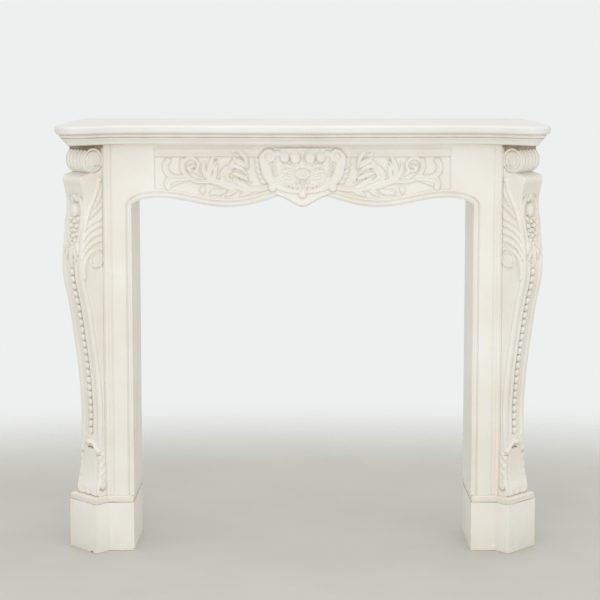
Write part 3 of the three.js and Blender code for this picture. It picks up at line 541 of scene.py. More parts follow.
class MANTEL_OT_shelf(bpy.types.Operator):
    """Serpentine shelf with its moulded lip, and the bed moulding under it."""

    bl_idname = "mantel.shelf"
    bl_label = "Shelf and bed moulding"

    def execute(self, context):
        s = sizes()
        top = s["height"]
        low = top - s["shelf_thickness"]
        lip = arc_profile([(11, low), (4.5, low + 0.6), (1.2, low + 3.2), (0, low + 7),
                           (0, top - 9), (0.8, top - 5.5), (3.2, top - 1.9), (8, top)], 5)
        z = lip[:, 1]
        # painted shade down the lip's front and underside, lifted in a painted highlight line low on the front
        shades = 0.75 * (1 - smooth(z, top - 8, top - 2)) - 0.6 * bell(z, low + 7, 2.5)
        moulded(s, "shelf_carved", lip, shades, "shelf", material("paint_shelf"))
        foot, inset = low - s["bed_height"], 33
        bed = [(0, 0), (1, 2.2), (4.5, 3), (5.5, 5), (8, 9.5), (12.5, 13.5), (16.8, 16.6), (17.4, 18.4), (15.4, 19.6),
               (15.6, 21), (19, 21.6), (21.6, 23.4), (22.4, 25), (21.6, 27), (20, 28.4)]
        bed = arc_profile([(inset - out, foot + up) for out, up in bed] + [(inset - 19.6, low - GAP)], 4)
        up = bed[:, 1] - foot
        # glaze in the grooves and at the joint under the lip; painted shade on the foot and underside, seen in the gap
        # over the consoles
        shades = (1.9 * bell(up, 20.2, 1.3) + 0.35 * smooth(up, 27.4, 29)
                  + 0.9 * (1 - smooth(up, 0, 3)))
        moulded(s, "bed_moulding_carved", bed, shades, "bed_moulding", material("paint_carved"), ends=1.2)
        return {"FINISHED"}


# Jambs, boards and plinths


def bead_and_quirk(d):
    """Height of the face at distance d from the opening's edge: bead, quirk, then flat."""
    bead = -3 + np.sqrt(np.clip(4.6**2 - (d - 8) ** 2, 0, None))
    corner = -3.2 + 2.4 * np.sqrt(np.clip(1 - (1 - np.clip(d / 3.4, 0, 1)) ** 2, 0, 1))
    quirk = -3.0 * (1 - smooth(d, 15.4, 16.8))
    return np.where(d < 12.5, np.maximum(bead, np.where(d < 4, corner, -3)), np.minimum(quirk, 0))


def arris_cove(x, arris):
    """Hollow worked along the outer arris."""
    into = x - arris + 21
    hollow = -3.5 * swell(into / 13) ** 0.7
    lip = -0.6 * (1 - smooth(np.abs(into), 0, 1.2))
    round_off = -2.2 * smooth(x, arris - 3, arris) ** 2
    return hollow + lip + round_off


def arris_x():
    """Outer arris of jambs and frieze, half a gap short of the corner board."""
    return CORNER_X - CANT_SETBACK / DIAG - GAP / 2


def face_y(s):
    """The flat face of jambs and frieze."""
    return s["depth"] / 2 - s["face_depth"]


def under_bed(s):
    """Top of frieze and consoles, a gap under the bed moulding."""
    return s["height"] - s["shelf_thickness"] - s["bed_height"] - GAP


def mitre(s):
    """What a board gives up at its back edge to meet the canted corner board."""
    return s["board"] * math.tan(math.pi / 8)


class MANTEL_OT_jambs(bpy.types.Operator):
    """Moulded front boards of both legs."""

    bl_idname = "mantel.jambs"
    bl_label = "Jambs"

    def execute(self, context):
        s = sizes()
        x0, x1 = s["opening"] / 2, arris_x()
        x = np.concatenate([np.linspace(x0, x0 + 17.5, 42), np.linspace(x0 + 18.5, x1 - 22, 12),
                            np.linspace(x1 - 21.5, x1, 34)])
        n = bead_and_quirk(x - x0) + arris_cove(x, x1)
        shade = sum(amount * bell(x, at, width)
                    for amount, at, width in ((0.8, x0 + 14, 1.6), (0.5, x1 - 13.5, 4.5), (0.25, x1 - 21, 1.5)))
        y, foot = face_y(s), s["plinth_top"]
        z = foot + (s["joint"] - foot) * np.array([0, 0.5, 1.2, *np.linspace(3, 97, 40), 98.8, 99.5, 100]) / 100
        ease = np.zeros(len(z))
        ease[:2] = 0.6, 0.2
        back_x, back_y = x1 - mitre(s), y + s["board"]
        for side, tag in ((1, "right"), (-1, "left")):
            sheets = Sheets()
            front = np.array([[(side * a, y - b + e, h) for a, b in zip(x, n)] for h, e in zip(z, ease)])
            sheets.add(front, shade[None] + ease[:, None] * 0.25, flip=side < 0)
            loop = [(x1, y - n[-1]), (back_x, back_y), (x0, back_y), (x0, y - n[0])]
            for (xa, ya), (xb, yb) in zip(loop[:-1], loop[1:]):
                sheets.add([[(side * xa, ya, h), (side * xb, yb, h)] for h in z], flip=side < 0)
            for h, up in ((z[0], False), (z[-1], True)):
                ends = [[(side * a, y - b, h) for a, b in zip(x, n)], [(side * min(a, back_x), back_y, h) for a in x]]
                sheets.add(ends, flip=(side < 0) != up)
            shown(sheets.build(f"jamb_moulded_{tag}", material("paint_upright")), f"jamb_{tag}")
        return {"FINISHED"}


class MANTEL_OT_boards(bpy.types.Operator):
    """Paint and softened edges on the plinths, caps, returns, corner and side boards."""

    bl_idname = "mantel.boards"
    bl_label = "Plinths and boards"

    def execute(self, context):
        parts = {
            "plinth_block": (0.0022, "paint_plinth"), "plinth_cap": (0.0009, "paint_plinth"),
            "return": (0.001, "paint_upright"), "side_board": (0.0012, "paint_upright"),
            "corner_board": (0.0012, "paint_corner"),
        }
        for kind, (width, mat) in parts.items():
            for tag in ("right", "left"):
                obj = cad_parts[f"{kind}_{tag}"]
                weld = obj.modifiers.new("weld", "WELD")
                weld.merge_threshold = 0.00002
                bevel = obj.modifiers.new("edges", "BEVEL")
                bevel.width = width
                bevel.segments = 3
                bevel.limit_method = "ANGLE"
                bevel.angle_limit = math.radians(25)
                bevel.harden_normals = False
                for slot in obj.material_slots:
                    slot.link = "OBJECT"
                    slot.material = material(mat)
        return {"FINISHED"}


# Frieze


def between(a, b, along, up):
    """Points from a to b by shares of the way along and up."""
    return np.stack([a[0] + (b[0] - a[0]) * along, a[1] + (b[1] - a[1]) * up], 1)


def opening_edge(s):
    """Right half of the opening's head from the joint to the cusp, then the tip from there to the middle."""
    half = s["opening"] / 2
    q = np.linspace(0, HALF_PI, 30)
    arch = between((half, s["spring"]), ARCH, 1 - np.cos(q), np.sin(q))
    t = np.linspace(0, 1, 40)[1:]
    flow = between(ARCH, BELLY, t, 0.5 - 0.5 * np.cos(math.pi * t))
    t = np.linspace(0, 1, 30)[1:]
    lift = between(BELLY, CUSP, t, 1 - np.cos(HALF_PI * t))
    t = np.linspace(0, 1, 26)[1:]
    tip = between(CUSP, TIP, t, t * 0.4 + 0.6 * (0.5 - 0.5 * np.cos(math.pi * t)))
    return np.vstack([[(half, s["joint"] + CLOSED_JOINT)], arch, flow, lift]), tip


def carve_rinceau(r, floor, rise):
    """Acanthus scroll on one half of the frieze panel."""
    def leaf(path, w, k=1.0, up=0.0, **more):
        """Stroke of width w, k times the full rise, lifted by up."""
        r.stroke(path, w, rise * k, base=floor + up, **{"vein": 0.2, "lean": 0.12, "edge": 0.42, **more})

    # leaves hanging below the stem
    for path, w in (([(262, 993), (266, 982), (264, 972)], 17), ([(222, 980), (238, 977), (247, 969)], 17),
                    ([(176, 982), (192, 975), (206, 965)], 15), ([(132, 981), (150, 976), (168, 966)], 16)):
        leaf(path, w, 0.85, vein=0.36)
    leaf([(206, 982), (219, 976), (238, 971)], 15, 0.8)
    # stem from the cartouche to the outer volute
    leaf([(92, 990), (118, 985), (148, 984), (178, 989), (206, 993), (240, 1004)], 17, 0.85, taper=CORD, vein=0.3)
    leaf([(184, 990), (206, 995), (226, 1003), (246, 1008)], 20, 0.92, taper=EVEN, vein=0.18)
    # frond towards the middle: broad folded lobe and five ribs
    leaf([(172, 994), (192, 1000), (206, 1012), (208, 1026), (199, 1038)], 26, 1.0, vein=0.42, lean=0.3, taper=EVEN)
    leaf([(206, 1030), (196, 1044), (176, 1046), (158, 1036), (145, 1021)], 14, 1.0)
    leaf([(190, 1029), (172, 1024), (153, 1015), (134, 1002)], 14, 0.95)
    leaf([(184, 1014), (166, 1004), (148, 992), (130, 989)], 15, 0.9)
    leaf([(196, 1046), (186, 1058), (172, 1062), (158, 1056), (146, 1044)], 14, 1.0, up=1.0)
    leaf([(184, 1072), (176, 1060), (162, 1052), (148, 1040)], 13, 1.05, up=3.0)
    leaf([(172, 1086), (162, 1082), (151, 1066), (144, 1038)], 14, 1.05, up=4.0)
    leaf([(188, 1084), (180, 1078), (172, 1070)], 11, 0.95, up=3.5)
    r.cut([(199, 998), (209, 1012), (212, 1028), (204, 1040), (194, 1050)], 2.6, 2.4, taper=EVEN)
    for hole in ((180, 1038, 5.5, 2.0, 0.35), (143, 1010, 4.6, 2.0, 0.6), (168, 1013, 5, 1.6, 0.5)):
        q = r.oval(*hole)
        r.h = np.where(q < 1.4, r.h + (floor - r.h) * (1 - smooth(q, 0.5, 1.4)), r.h)
    # upright fronds between the scroll and the volute
    leaf([(236, 1008), (233, 1024), (231, 1040), (225, 1052)], 14, 0.92, vein=0.3)
    leaf([(246, 1008), (248, 1028), (246, 1050), (236, 1072)], 18, 1.0, vein=0.34,
         taper=lambda t: (1 - 0.35 * t, 1 - 0.1 * t))
    leaf([(252, 1010), (260, 1026), (264, 1044), (262, 1060)], 13, 0.9, vein=0.3)
    leaf([(250, 1020), (240, 1042), (226, 1066)], 9, 0.95)
    r.cut([(242, 1012), (240, 1034), (234, 1056)], 2.6, 2.6, taper=EVEN)
    # outer volute with its curled heart
    leaf([(244, 1005), (282, 1006), (300, 1015), (316, 1032), (320, 1048), (318, 1062)], 15, 1.0,
         taper=lambda t: (0.75 + 0.25 * t, 1), vein=0.34)
    r.stroke(spiral(294, 1046, 25, 9, 0.7, 0.95, 60), 11, rise * 0.95, taper=CORD, base=floor, vein=0.25)
    leaf([(270, 1020), (282, 1032), (290, 1036)], 12, 0.85)
    leaf([(300, 1040), (292, 1048), (284, 1044)], 11, 0.95)
    r.dome(313, 1061, 8, 7.5, rise * 1.08, base=floor)
    r.dome(291, 1047, 6, 6, rise * 1.12, base=floor)
    for x, z in ((302, 1050), (288, 1046), (292, 1034)):
        r.moat(x, z, 1.6, 1.6, 3, 4.5)
    # outer leaves and end bud
    leaf([(306, 1014), (328, 1013), (348, 1011), (358, 1001), (357, 988)], 22, 0.95, vein=0.26, lean=0.25,
         taper=lambda t: (0.62 + 0.45 * swell(0.15 + 0.8 * t), 1 - 0.15 * t))
    leaf([(310, 1007), (326, 1004), (342, 998), (348, 990)], 10, 0.7)
    r.cut([(312, 1006), (330, 1004), (344, 999)], 3, 3.2)
    leaf([(346, 1018), (358, 1026), (364, 1038), (364, 1052), (357, 1062)], 17, 0.95, taper=EVEN, vein=0.3, lean=0.25)
    r.dome(359, 1062, 8, 7.5, rise * 1.12, base=floor)
    r.dots([(121, 1055), (115, 1049), (112, 1038), (262, 993), (216, 967), (143, 1010), (180, 1038), (302, 1050),
            (288, 1040), (168, 1013), (232, 1062), (250, 1030), (206, 1056)], 2.0, 1.5)
    # leaflets along the outside of the cartouche
    for x, z, turn in ((121, 1063, 1.0), (119, 1048, 0.8), (117, 1033, 0.6), (112, 1018, 0.5), (104, 1005, 0.3)):
        r.dome(x, z, 11, 6.5, rise * 0.85, base=floor, edge=0.35, turn=turn)
        r.cut([(x - 7, z - 7), (x, z), (x + 8, z + 7)], 2.4, 1.8, taper=EVEN)


def carve_cartouche(r, floor):
    """Shield: C-scroll border, fan of four lobes, rosette, berries and the plain lobe below."""
    ax = r.a
    # plain lobe with soft folds
    edge = np.interp(ax, [0, 12, 26, 38, 50, 64, 78], [937, 939, 946, 954, 961, 966, 972])
    lobe = smooth(r.b - edge, -1, 5) * (1 - smooth(r.b, 990, 1002)) * (1 - smooth(ax, 70, 86))
    r.h = np.maximum(r.h, np.where(lobe > 0.01, (floor + 9.5) * lobe + floor * (1 - lobe), r.h))
    for path, w, up in (
        ([(6, 948), (24, 955), (42, 968), (58, 978)], 12, 2.4), ([(26, 950), (40, 958), (54, 966), (68, 974)], 9, 2.0),
        ([(16, 968), (30, 972), (44, 980)], 9, 1.8),
    ):
        m, d, t, _ = r.near(spline(path, 30), w)
        r.h[m] += up * bell(d, 0, w / 3) * swell(t)
    # field
    field = (ax / 88) ** 2 + ((r.b - 1044) / np.where(r.b > 1044, 55, 60)) ** 2
    dish = 6.5 - 2.5 * np.clip(1 - field, 0, 1)
    r.h = np.where(field < 1, np.maximum(r.h, dish), r.h)
    r.h = np.where((ax < 78) & (r.b > 1066) & (r.b < 1096), np.maximum(r.h, 5.0), r.h)
    # border scroll, broad above and narrow below
    band = [(96, 1082), (103, 1068), (98.5, 1042), (89.5, 1017), (72, 999.5), (50, 987), (25, 980), (0, 978.5)]
    at, widths = (0, 0.15, 0.35, 0.55, 0.72, 0.85, 1), (0.7, 0.9, 1.0, 0.86, 0.58, 0.42, 0.36)
    r.stroke(band, 30, 11.5, edge=0.82, steps=90, taper=lambda t: (np.interp(t, at, widths), 1 - 0.05 * t))
    r.dome(90, 1075, 20.5, 20, 12, edge=0.85)
    r.cut(spiral(89.5, 1074, 12.5, 7.5, -2.2, 0.95, 60), 3.0, 4.2,
          taper=lambda t: (0.6 + 0.5 * np.sin(math.pi * t), 0.4 + 0.8 * np.sin(math.pi * t)))
    r.dome(88.5, 1073.5, 7.5, 7, 13.5, edge=0.6)
    r.dome(80.5, 989.5, 11.5, 11.5, 10, edge=0.8)
    r.moat(80.5, 989.5, 12, 12, 2.6, 2.2)
    # inner line along the border
    r.cut([(80, 1056), (80, 1036), (73, 1014), (54, 998), (26, 989), (0, 987)], 3.2, 3.6, taper=EVEN)
    # fan of four rounded lobes under a plain rim
    plate = 8.0 * smooth(r.b, 1062, 1080) * (1 - smooth(ax, 58, 66))
    r.h = np.where((r.b > 1056) & (r.b < 1097) & (ax < 66), np.maximum(r.h, plate), r.h)
    lobed = lambda t: (0.5 + 0.5 * smooth(t, 0.0, 0.7), 0.6 + 0.4 * smooth(t, 0.05, 0.8))
    r.dome(66.5, 1081, 9, 10, 11, edge=0.7)
    r.stroke([(52, 1092), (49, 1080), (47.5, 1069)], 26, 14, edge=0.85, taper=lobed)
    r.stroke([(27, 1092), (22, 1080), (19.5, 1067.5)], 29, 14.5, edge=0.85, taper=lobed)
    for x in (47.5, 19.5):
        r.cut([(x - 14, 1067), (x - 10, 1058), (x, 1054), (x + 10, 1058), (x + 14, 1067)], 2.4, 1.4, taper=EVEN)
        r.ink([(x - 12.5, 1067), (x - 9, 1057.5), (x, 1053.5), (x + 9, 1057.5), (x + 12.5, 1067)], 2.4, 0.6)
    r.cut([(34, 1057), (34.3, 1070), (34, 1084)], 2.4, 2.0, taper=DROP)
    wedge = smooth(r.b, 1056, 1090) * 9
    fade = smooth(r.b, 1054, 1062) * (1 - smooth(r.b, 1084, 1092))
    r.h = np.where((r.b > 1052) & (r.b < 1095), r.h - 4.0 * (1 - smooth(ax, wedge * 0.5, wedge + 2.5)) * fade, r.h)
    r.h = np.where((ax < 62) & (r.b > 1095.6), np.minimum(r.h, 1.0), r.h)
    r.ink([(0, 1096), (24, 1096), (48, 1095.5)], 2.2, 0.7)
    r.dots([(52, 1057), (34, 1053), (40, 1027), (25, 1000), (45, 1040), (73, 1066)], 1.8, 1.5)
    # beads along the inner edge of the border
    for x, z in ((73.5, 1058), (74, 1046.5), (73, 1035), (68.5, 1024)):
        r.dome(x, z, 5.0, 5.4, 12, edge=0.2)
    # leaves beside the rosette
    for path, w in (
        ([(22, 1038), (34, 1046), (46, 1049), (57, 1042)], 12), ([(25, 1026), (40, 1032), (54, 1033), (60, 1026)], 12),
        ([(22, 1014), (36, 1015), (48, 1017), (56, 1011)], 11), ([(8, 1050), (20, 1053), (32, 1051)], 8),
    ):
        r.stroke(path, w, 10.5, vein=0.2, edge=0.6)
    for k in range(4):
        x = 64 - 11 * k
        r.stroke([(x, 1016 - 7 * k), (x - 7, 1012 - 6.5 * k), (x - 13, 1004 - 5 * k)], 9, 9.5, edge=0.6)
    # rosette
    r.dome(0, 1026, 22, 15, 11.5, edge=0.7)
    for k in range(8):
        a = k * math.pi / 4 + 0.39
        r.dome(15 * math.cos(a), 1026 + 10 * math.sin(a), 6.5, 5.0, 13, edge=0.6, turn=a)
    r.moat(0, 1026, 9.5, 6.6, 2.4, 2.6)
    r.dome(0, 1026, 8, 5.4, 14, edge=0.5)
    # berries and the round bead below
    for x, z, q in ((14, 1004.5, 6.2), (1, 1002, 5.5), (19.5, 987.5, 5.6), (6.5, 988, 6.0), (31, 993, 5.2)):
        r.dome(x, z, q, q, 13, edge=0.2)
        r.moat(x, z, q + 1, q + 1, 2, 1.4)
    r.dome(0, 970, 10.5, 10, 13, edge=0.35)
    r.moat(0, 970, 11.5, 11, 3, 3)


class MANTEL_OT_frieze(bpy.types.Operator):
    """Frieze board with its bead, moulded strip, leaf scrolls and cartouche."""

    bl_idname = "mantel.frieze"
    bl_label = "Frieze"

    def execute(self, context):
        s = sizes()
        top, end, face, half = under_bed(s), arris_x(), face_y(s), s["opening"] / 2
        edge, tip = opening_edge(s)
        lower = np.vstack([edge[1:], tip])[::-1]
        xs = np.concatenate([
            np.arange(0, half - 20, 1.5), np.arange(half - 20, half, 0.62), [half - 0.02, half + 0.02],
            np.arange(half + 0.8, half + 18, 0.9), np.arange(half + 19, half + 46, 3.4),
            np.linspace(half + 46.5, end, 19),
        ])
        low = np.where(xs <= half, np.interp(xs, lower[:, 0], lower[:, 1]), s["joint"] + CLOSED_JOINT)
        v = np.linspace(0, 1, 118) ** 0.97
        X = np.repeat(xs[None], len(v), 0)
        Z = low + (top - low) * v[:, None]

        m, d, _, _ = Relief(X, Z).near(edge, 60)
        dist = np.full(X.shape, 99.0)
        dist[m] = d
        base = bead_and_quirk(dist)
        base = np.where(X < CUSP[0], np.minimum(base * smooth(X, CUSP[0] - 8, CUSP[0]), 0), base)
        # panel
        floor = -s["panel_depth"]
        inside = np.minimum.reduce([s["panel_half"] - X, s["panel_top"] - Z, dist - 22])
        sunk = smooth(inside, 0, 1.6)
        base = base * (1 - sunk) + floor * sunk
        line = 0.9 * bell(inside, 0.8, 1.2)
        # strip over the panel
        over = Z - s["panel_top"]
        along = smooth(s["panel_half"] + 1 - X, 0, 3) * smooth(X, 112, 140)
        shape = np.interp(over, [-0.5, 0.4, 2, 4, 6, 8, 10.5, 13, 15.5, 18, 20.5, 23, 26, 30, 34.7],
                          [0, 3.2, 4.6, 4.7, 3.4, 1.9, 2.2, 3.9, 5.5, 5.6, 4.4, 2.6, 1.5, 0.9, 0.5]) * along
        base = np.where(over > -0.5, np.maximum(base, shape), base)
        base = base + arris_cove(X, end) * (X > end - 24)
        r = Relief(X, Z, base)
        carve_rinceau(r, floor, s["leaf_rise"])
        carve_cartouche(r, floor)
        h = np.where((inside > 0) | (X < 125), blur(r.h), r.h)
        h[:, 0] = h[:, 1]
        # glaze: hollows of the carving, the panel's edge, the quirk, the strip; and a dark seam with painted shade
        # under the bed moulding towards the ends
        shade = recess_of(mirrored(h))[:, len(xs) - 1:]
        shade = np.clip(shade + line * 0.8 + bell(dist, 14, 1.7) * (X > CUSP[0]) * 0.9, 0, 1)
        shade += (0.5 * bell(over, 8.4, 1.8) + 0.9 * bell(over, 0, 1.5)) * along
        shade = np.clip(shade, 0, 1) + r.stain_and_painted_shade + 1.9 * smooth(Z, top - 3.6, top - 1.6) * smooth(X, 430, 490)
        across = mirrored(X, -1)
        front = np.stack([across, face - mirrored(h), mirrored(Z)], -1)
        back = front.copy()
        back[..., 1] = face + s["board"]
        back[..., 0] = across * (1 - smooth(np.abs(across), end - 30, end) * (mitre(s) / end))
        sheets = Sheets()
        sheets.add(front, mirrored(shade))
        sheets.add(np.stack([back[0], front[0]]), 0.1)
        sheets.add(np.stack([front[-1], back[-1]]))
        sheets.add(np.stack([front[:, -1], back[:, -1]], 1))
        sheets.add(np.stack([back[:, 0], front[:, 0]], 1))
        sheets.add(back[[0, 30, 60, 90, -1]][:, ::3], flip=True)
        shown(sheets.build("frieze_carved", material("paint_carved")), "frieze")
        return {"FINISHED"}


# Consoles


PROFILE = (  # height in thousandths of the body, outward position
    (0, -17), (22, -19), (52, -26), (90, -29.5), (178, -28.5), (255, -29.5), (330, -25), (402, -17.7), (470, -8),
    (530, 0.8), (585, 10.5), (638, 23), (685, 27.6), (735, 25.5), (790, 18.5), (850, 13), (890, 13), (920, 19),
    (946, 24), (957, 17), (965, -10), (1000, -19),
)


def console_profile(z, foot=151.6, length=911.4):
    """Outward position of the console's front at height z."""
    key = np.array(PROFILE, float)
    t, n = key[:, 0], key[:, 1]
    slope = np.zeros(len(t))
    slope[1:-1] = (n[2:] - n[:-2]) / (t[2:] - t[:-2])
    x = np.clip((np.asarray(z, float) - foot) / length * 1000, 0, 1000)
    i = np.clip(np.searchsorted(t, x, side="right") - 1, 0, len(t) - 2)
    w = t[i + 1] - t[i]
    q = (x - t[i]) / w
    return ((2 * q**3 - 3 * q**2 + 1) * n[i] + (q**3 - 2 * q**2 + q) * slope[i] * w
            + (-2 * q**3 + 3 * q**2) * n[i + 1] + (q**3 - q**2) * slope[i + 1] * w)


def carve_console_front(r):
    """Bead channel with fillets, floral drop on the head, leaf on the foot; u across, z up, symmetrical."""
    u, z = r.a, r.b
    run = smooth(z, 306, 322) * (1 - smooth(z, 772, 790))
    bare = smooth(z, 300, 316) * (1 - smooth(z, 985, 1000))
    channel = -5.5 * (1 - smooth(u, 8.5, 11.5))
    hollow = -4.2 * swell((u - 16.5) / 11.5) ** 0.8
    r.h += run * (channel + hollow)
    r.h -= bare * 3.0 * (1 - smooth(u, 26, 30)) * smooth(z, 772, 800) * (1 - smooth(z, 962, 975))
    r.h += bare * bell(u, 33, 3.2)
    # floral drop
    r.stroke([(0, 966), (12, 966), (23, 954), (28, 930), (27, 900), (23, 872), (18, 848)], 10, 7, base=-2, vein=0.3,
             edge=0.5, taper=CORD)
    r.dome(0, 966, 10, 8, 8, base=-1)
    r.dome(9, 958, 6, 6, 7, base=-1)
    r.dome(0, 931, 11, 19, 9, base=-1, edge=0.4)
    r.moat(0, 931, 13, 21, 4, 3)
    for x, y, q in ((15, 908, 6.5), (0, 901, 6), (12, 889, 6.5), (5, 877, 5.5), (14, 868, 5.5), (0, 863, 7),
                    (9, 852, 6), (0, 842, 6)):
        r.dome(x, y, q, q, 8.5, base=-2, edge=0.25)
        r.moat(x, y, q + 0.8, q + 0.8, 2, 1.5)
    for path, w in (([(8, 846), (20, 834), (26, 814)], 13), ([(5, 836), (15, 818), (18, 798)], 12),
                    ([(0, 840), (0, 812), (0, 778)], 17)):
        r.stroke(path, w, 9, base=-2, vein=0.35, edge=0.45)
    # foot leaf: long flutes under a curled tip, notched along the arris
    body = smooth(z, 156, 172) * (1 - smooth(z, 286, 306))
    r.h += body * 3.5 * np.cos(np.clip(u / 44, 0, 1) * HALF_PI) ** 0.6
    flute = lambda t: (0.55 + 0.55 * t, 0.75 + 0.25 * np.sin(math.pi * t))
    for path, w in (([(33, 262), (35, 230), (38, 196), (42, 166)], 14),
                    ([(16, 284), (18, 245), (22, 200), (27, 156)], 22), ([(0, 290), (0, 240), (0, 156)], 15)):
        r.stroke(path, w, 3.6, edge=0.3, taper=flute)
    for y, q in ((253, 7.5), (230, 7.5), (209, 7)):
        r.dome(38, y, 6.5, q, 3.6, edge=0.5, turn=-0.35)
    r.stroke([(3, 297), (11, 295), (20, 287), (28, 275)], 11, 8, edge=0.5, taper=lambda t: (0.9 - 0.2 * t, 1 - 0.2 * t))
    r.dome(0, 297, 12, 8, 14, edge=0.4)
    r.dome(30, 274, 8, 9, 7.5, edge=0.45)
    r.h -= 6.0 * bell(z, 281, 4) * (1 - smooth(u, 8, 15))
    r.cut([(0, 312), (0, 298), (0, 290)], 3.4, 2.0)
    # painted shadow over the glaze under the curled tip
    r.ink([(-10, 279), (0, 281), (10, 279)], 3.6, 2.1)
    r.ink([(12, 285), (19, 277), (24, 268)], 2.6, 0.9)
    # painted shadow over the glaze under the side lobe
    r.ink([(27, 262), (33, 262), (37, 264)], 3.0, 1.9)
    r.dots([(35, 241), (36, 219), (37, 199)], 2.5, 1.9)
    # painted shadow along the foot's bottom edge, with glaze at the joint
    r.ink([(0, 153), (22, 153), (44, 153)], 3.6, 2.0)
    r.dots([(14, 946), (3, 951), (18, 921), (8, 914), (19, 897), (7, 894), (8, 883), (17, 877), (10, 861), (15, 843),
            (9, 830), (20, 824), (8, 806), (7, 790)], 2.2, 1.7)
    r.ink([(12, 968), (24, 956), (32, 934), (31, 905)], 2.4, 0.8)


def carve_cheek(r, front):
    """Leaf sweeps and volutes on a cheek; n outward along the diagonal, z up. front is n of the arris."""
    def sweep(path, w, up=5.2, **more):
        r.stroke(path, w, up, base=-0.5, **{"vein": 0.0, "lean": 0.35, "edge": 0.3, **more})

    tail = lambda t: (0.35 + 0.65 * swell(0.1 + 0.62 * t), 0.5 + 0.5 * swell(0.1 + 0.6 * t))
    sweep([(22, 872), (14, 884), (-7, 898), (-32, 908), (-52, 922)], 17, taper=tail)
    sweep([(24, 848), (12, 866), (-6, 880), (-32, 891), (-54, 893)], 17, taper=tail)
    sweep([(24, 826), (12, 846), (-7, 862), (-36, 871), (-55, 868)], 16, taper=tail)
    sweep([(23, 804), (14, 824), (-4, 840), (-32, 850), (-55, 848)], 15, taper=tail)
    sweep([(17, 750), (19, 776), (13, 802), (-4, 818), (-26, 826), (-52, 822)], 12, 6.5,
          taper=lambda t: (0.5 + 0.5 * swell(0.15 + 0.7 * t), np.ones_like(t)), lean=0.0)
    sweep([(9, 752), (10, 782), (3, 804), (-12, 815)], 7, 4.5, lean=0.0)
    # eye of the volute with its crescent
    r.stroke(spiral(-26, 797, 22, 19, -0.9, 1.0, 60), 7, 5, base=-0.5, taper=EVEN, edge=0.5)
    r.dome(-26, 797, 16.5, 17, 5, base=-0.5, edge=0.75)
    r.cut(spiral(-26, 797, 24, 24, 3.6, 0.38, 24), 5, 4, taper=DROP)
    # rib from the bud to the arris
    sweep([(-36, 1014), (-32, 996), (-26, 980), (-11, 952), (2, 926), (9, 905), (17, 884), (24, 862)], 9, 7, taper=EVEN,
          lean=0.0, edge=0.5)
    sweep([(-50, 976), (-36, 962), (-22, 948), (-14, 940)], 9, 5, taper=tail)
    sweep([(-54, 944), (-38, 938), (-18, 924), (-4, 912)], 12, 5.5, taper=tail)
    r.dome(-38, 1010, 7, 9, 6.5, base=-0.5)
    sweep([(-39, 1006), (-44, 990), (-42, 975), (-32, 957), (-18, 937)], 13, 5, taper=tail)
    r.cut([(-44, 1002), (-36, 1004), (-30, 1010)], 4, 3)
    # edge moulding down the shaft
    d = front - r.a
    shaft = smooth(r.b, 312, 330) * (1 - smooth(r.b, 735, 760))
    r.h += shaft * 1.6 * (bell(d, 4, 3.0) - bell(d, 9.5, 2.4))
    # foot leaf seen from the side
    for z0 in (268, 243, 220):
        r.stroke([(-29, z0 - 16), (-33, z0 - 6), (-43, z0)], 10, 2.6)
    r.dome(-33, 183, 13, 18, 3.6, base=-0.3, edge=0.85)
    volute = spiral(-33, 183, 15, 12.5, 1.1, 0.95, 50, 0.8)
    r.cut(volute, 2.6, 2.4, taper=EVEN)
    r.ink(volute, 2.4, 1.4)
    # dark crescent under the foot's volute: painted shadow
    r.ink(spiral(-33, 183, 16.5, 16, 3.9, 0.28, 20, 0.8), 3.6, 2.1)
    r.dots([(-31, 191)], 2.4, 1.9)
    r.dots([(-44, 1006)], 2.6, 2.0)
    r.dots([(-40, 950), (-50, 966)], 2.0, 1.2)


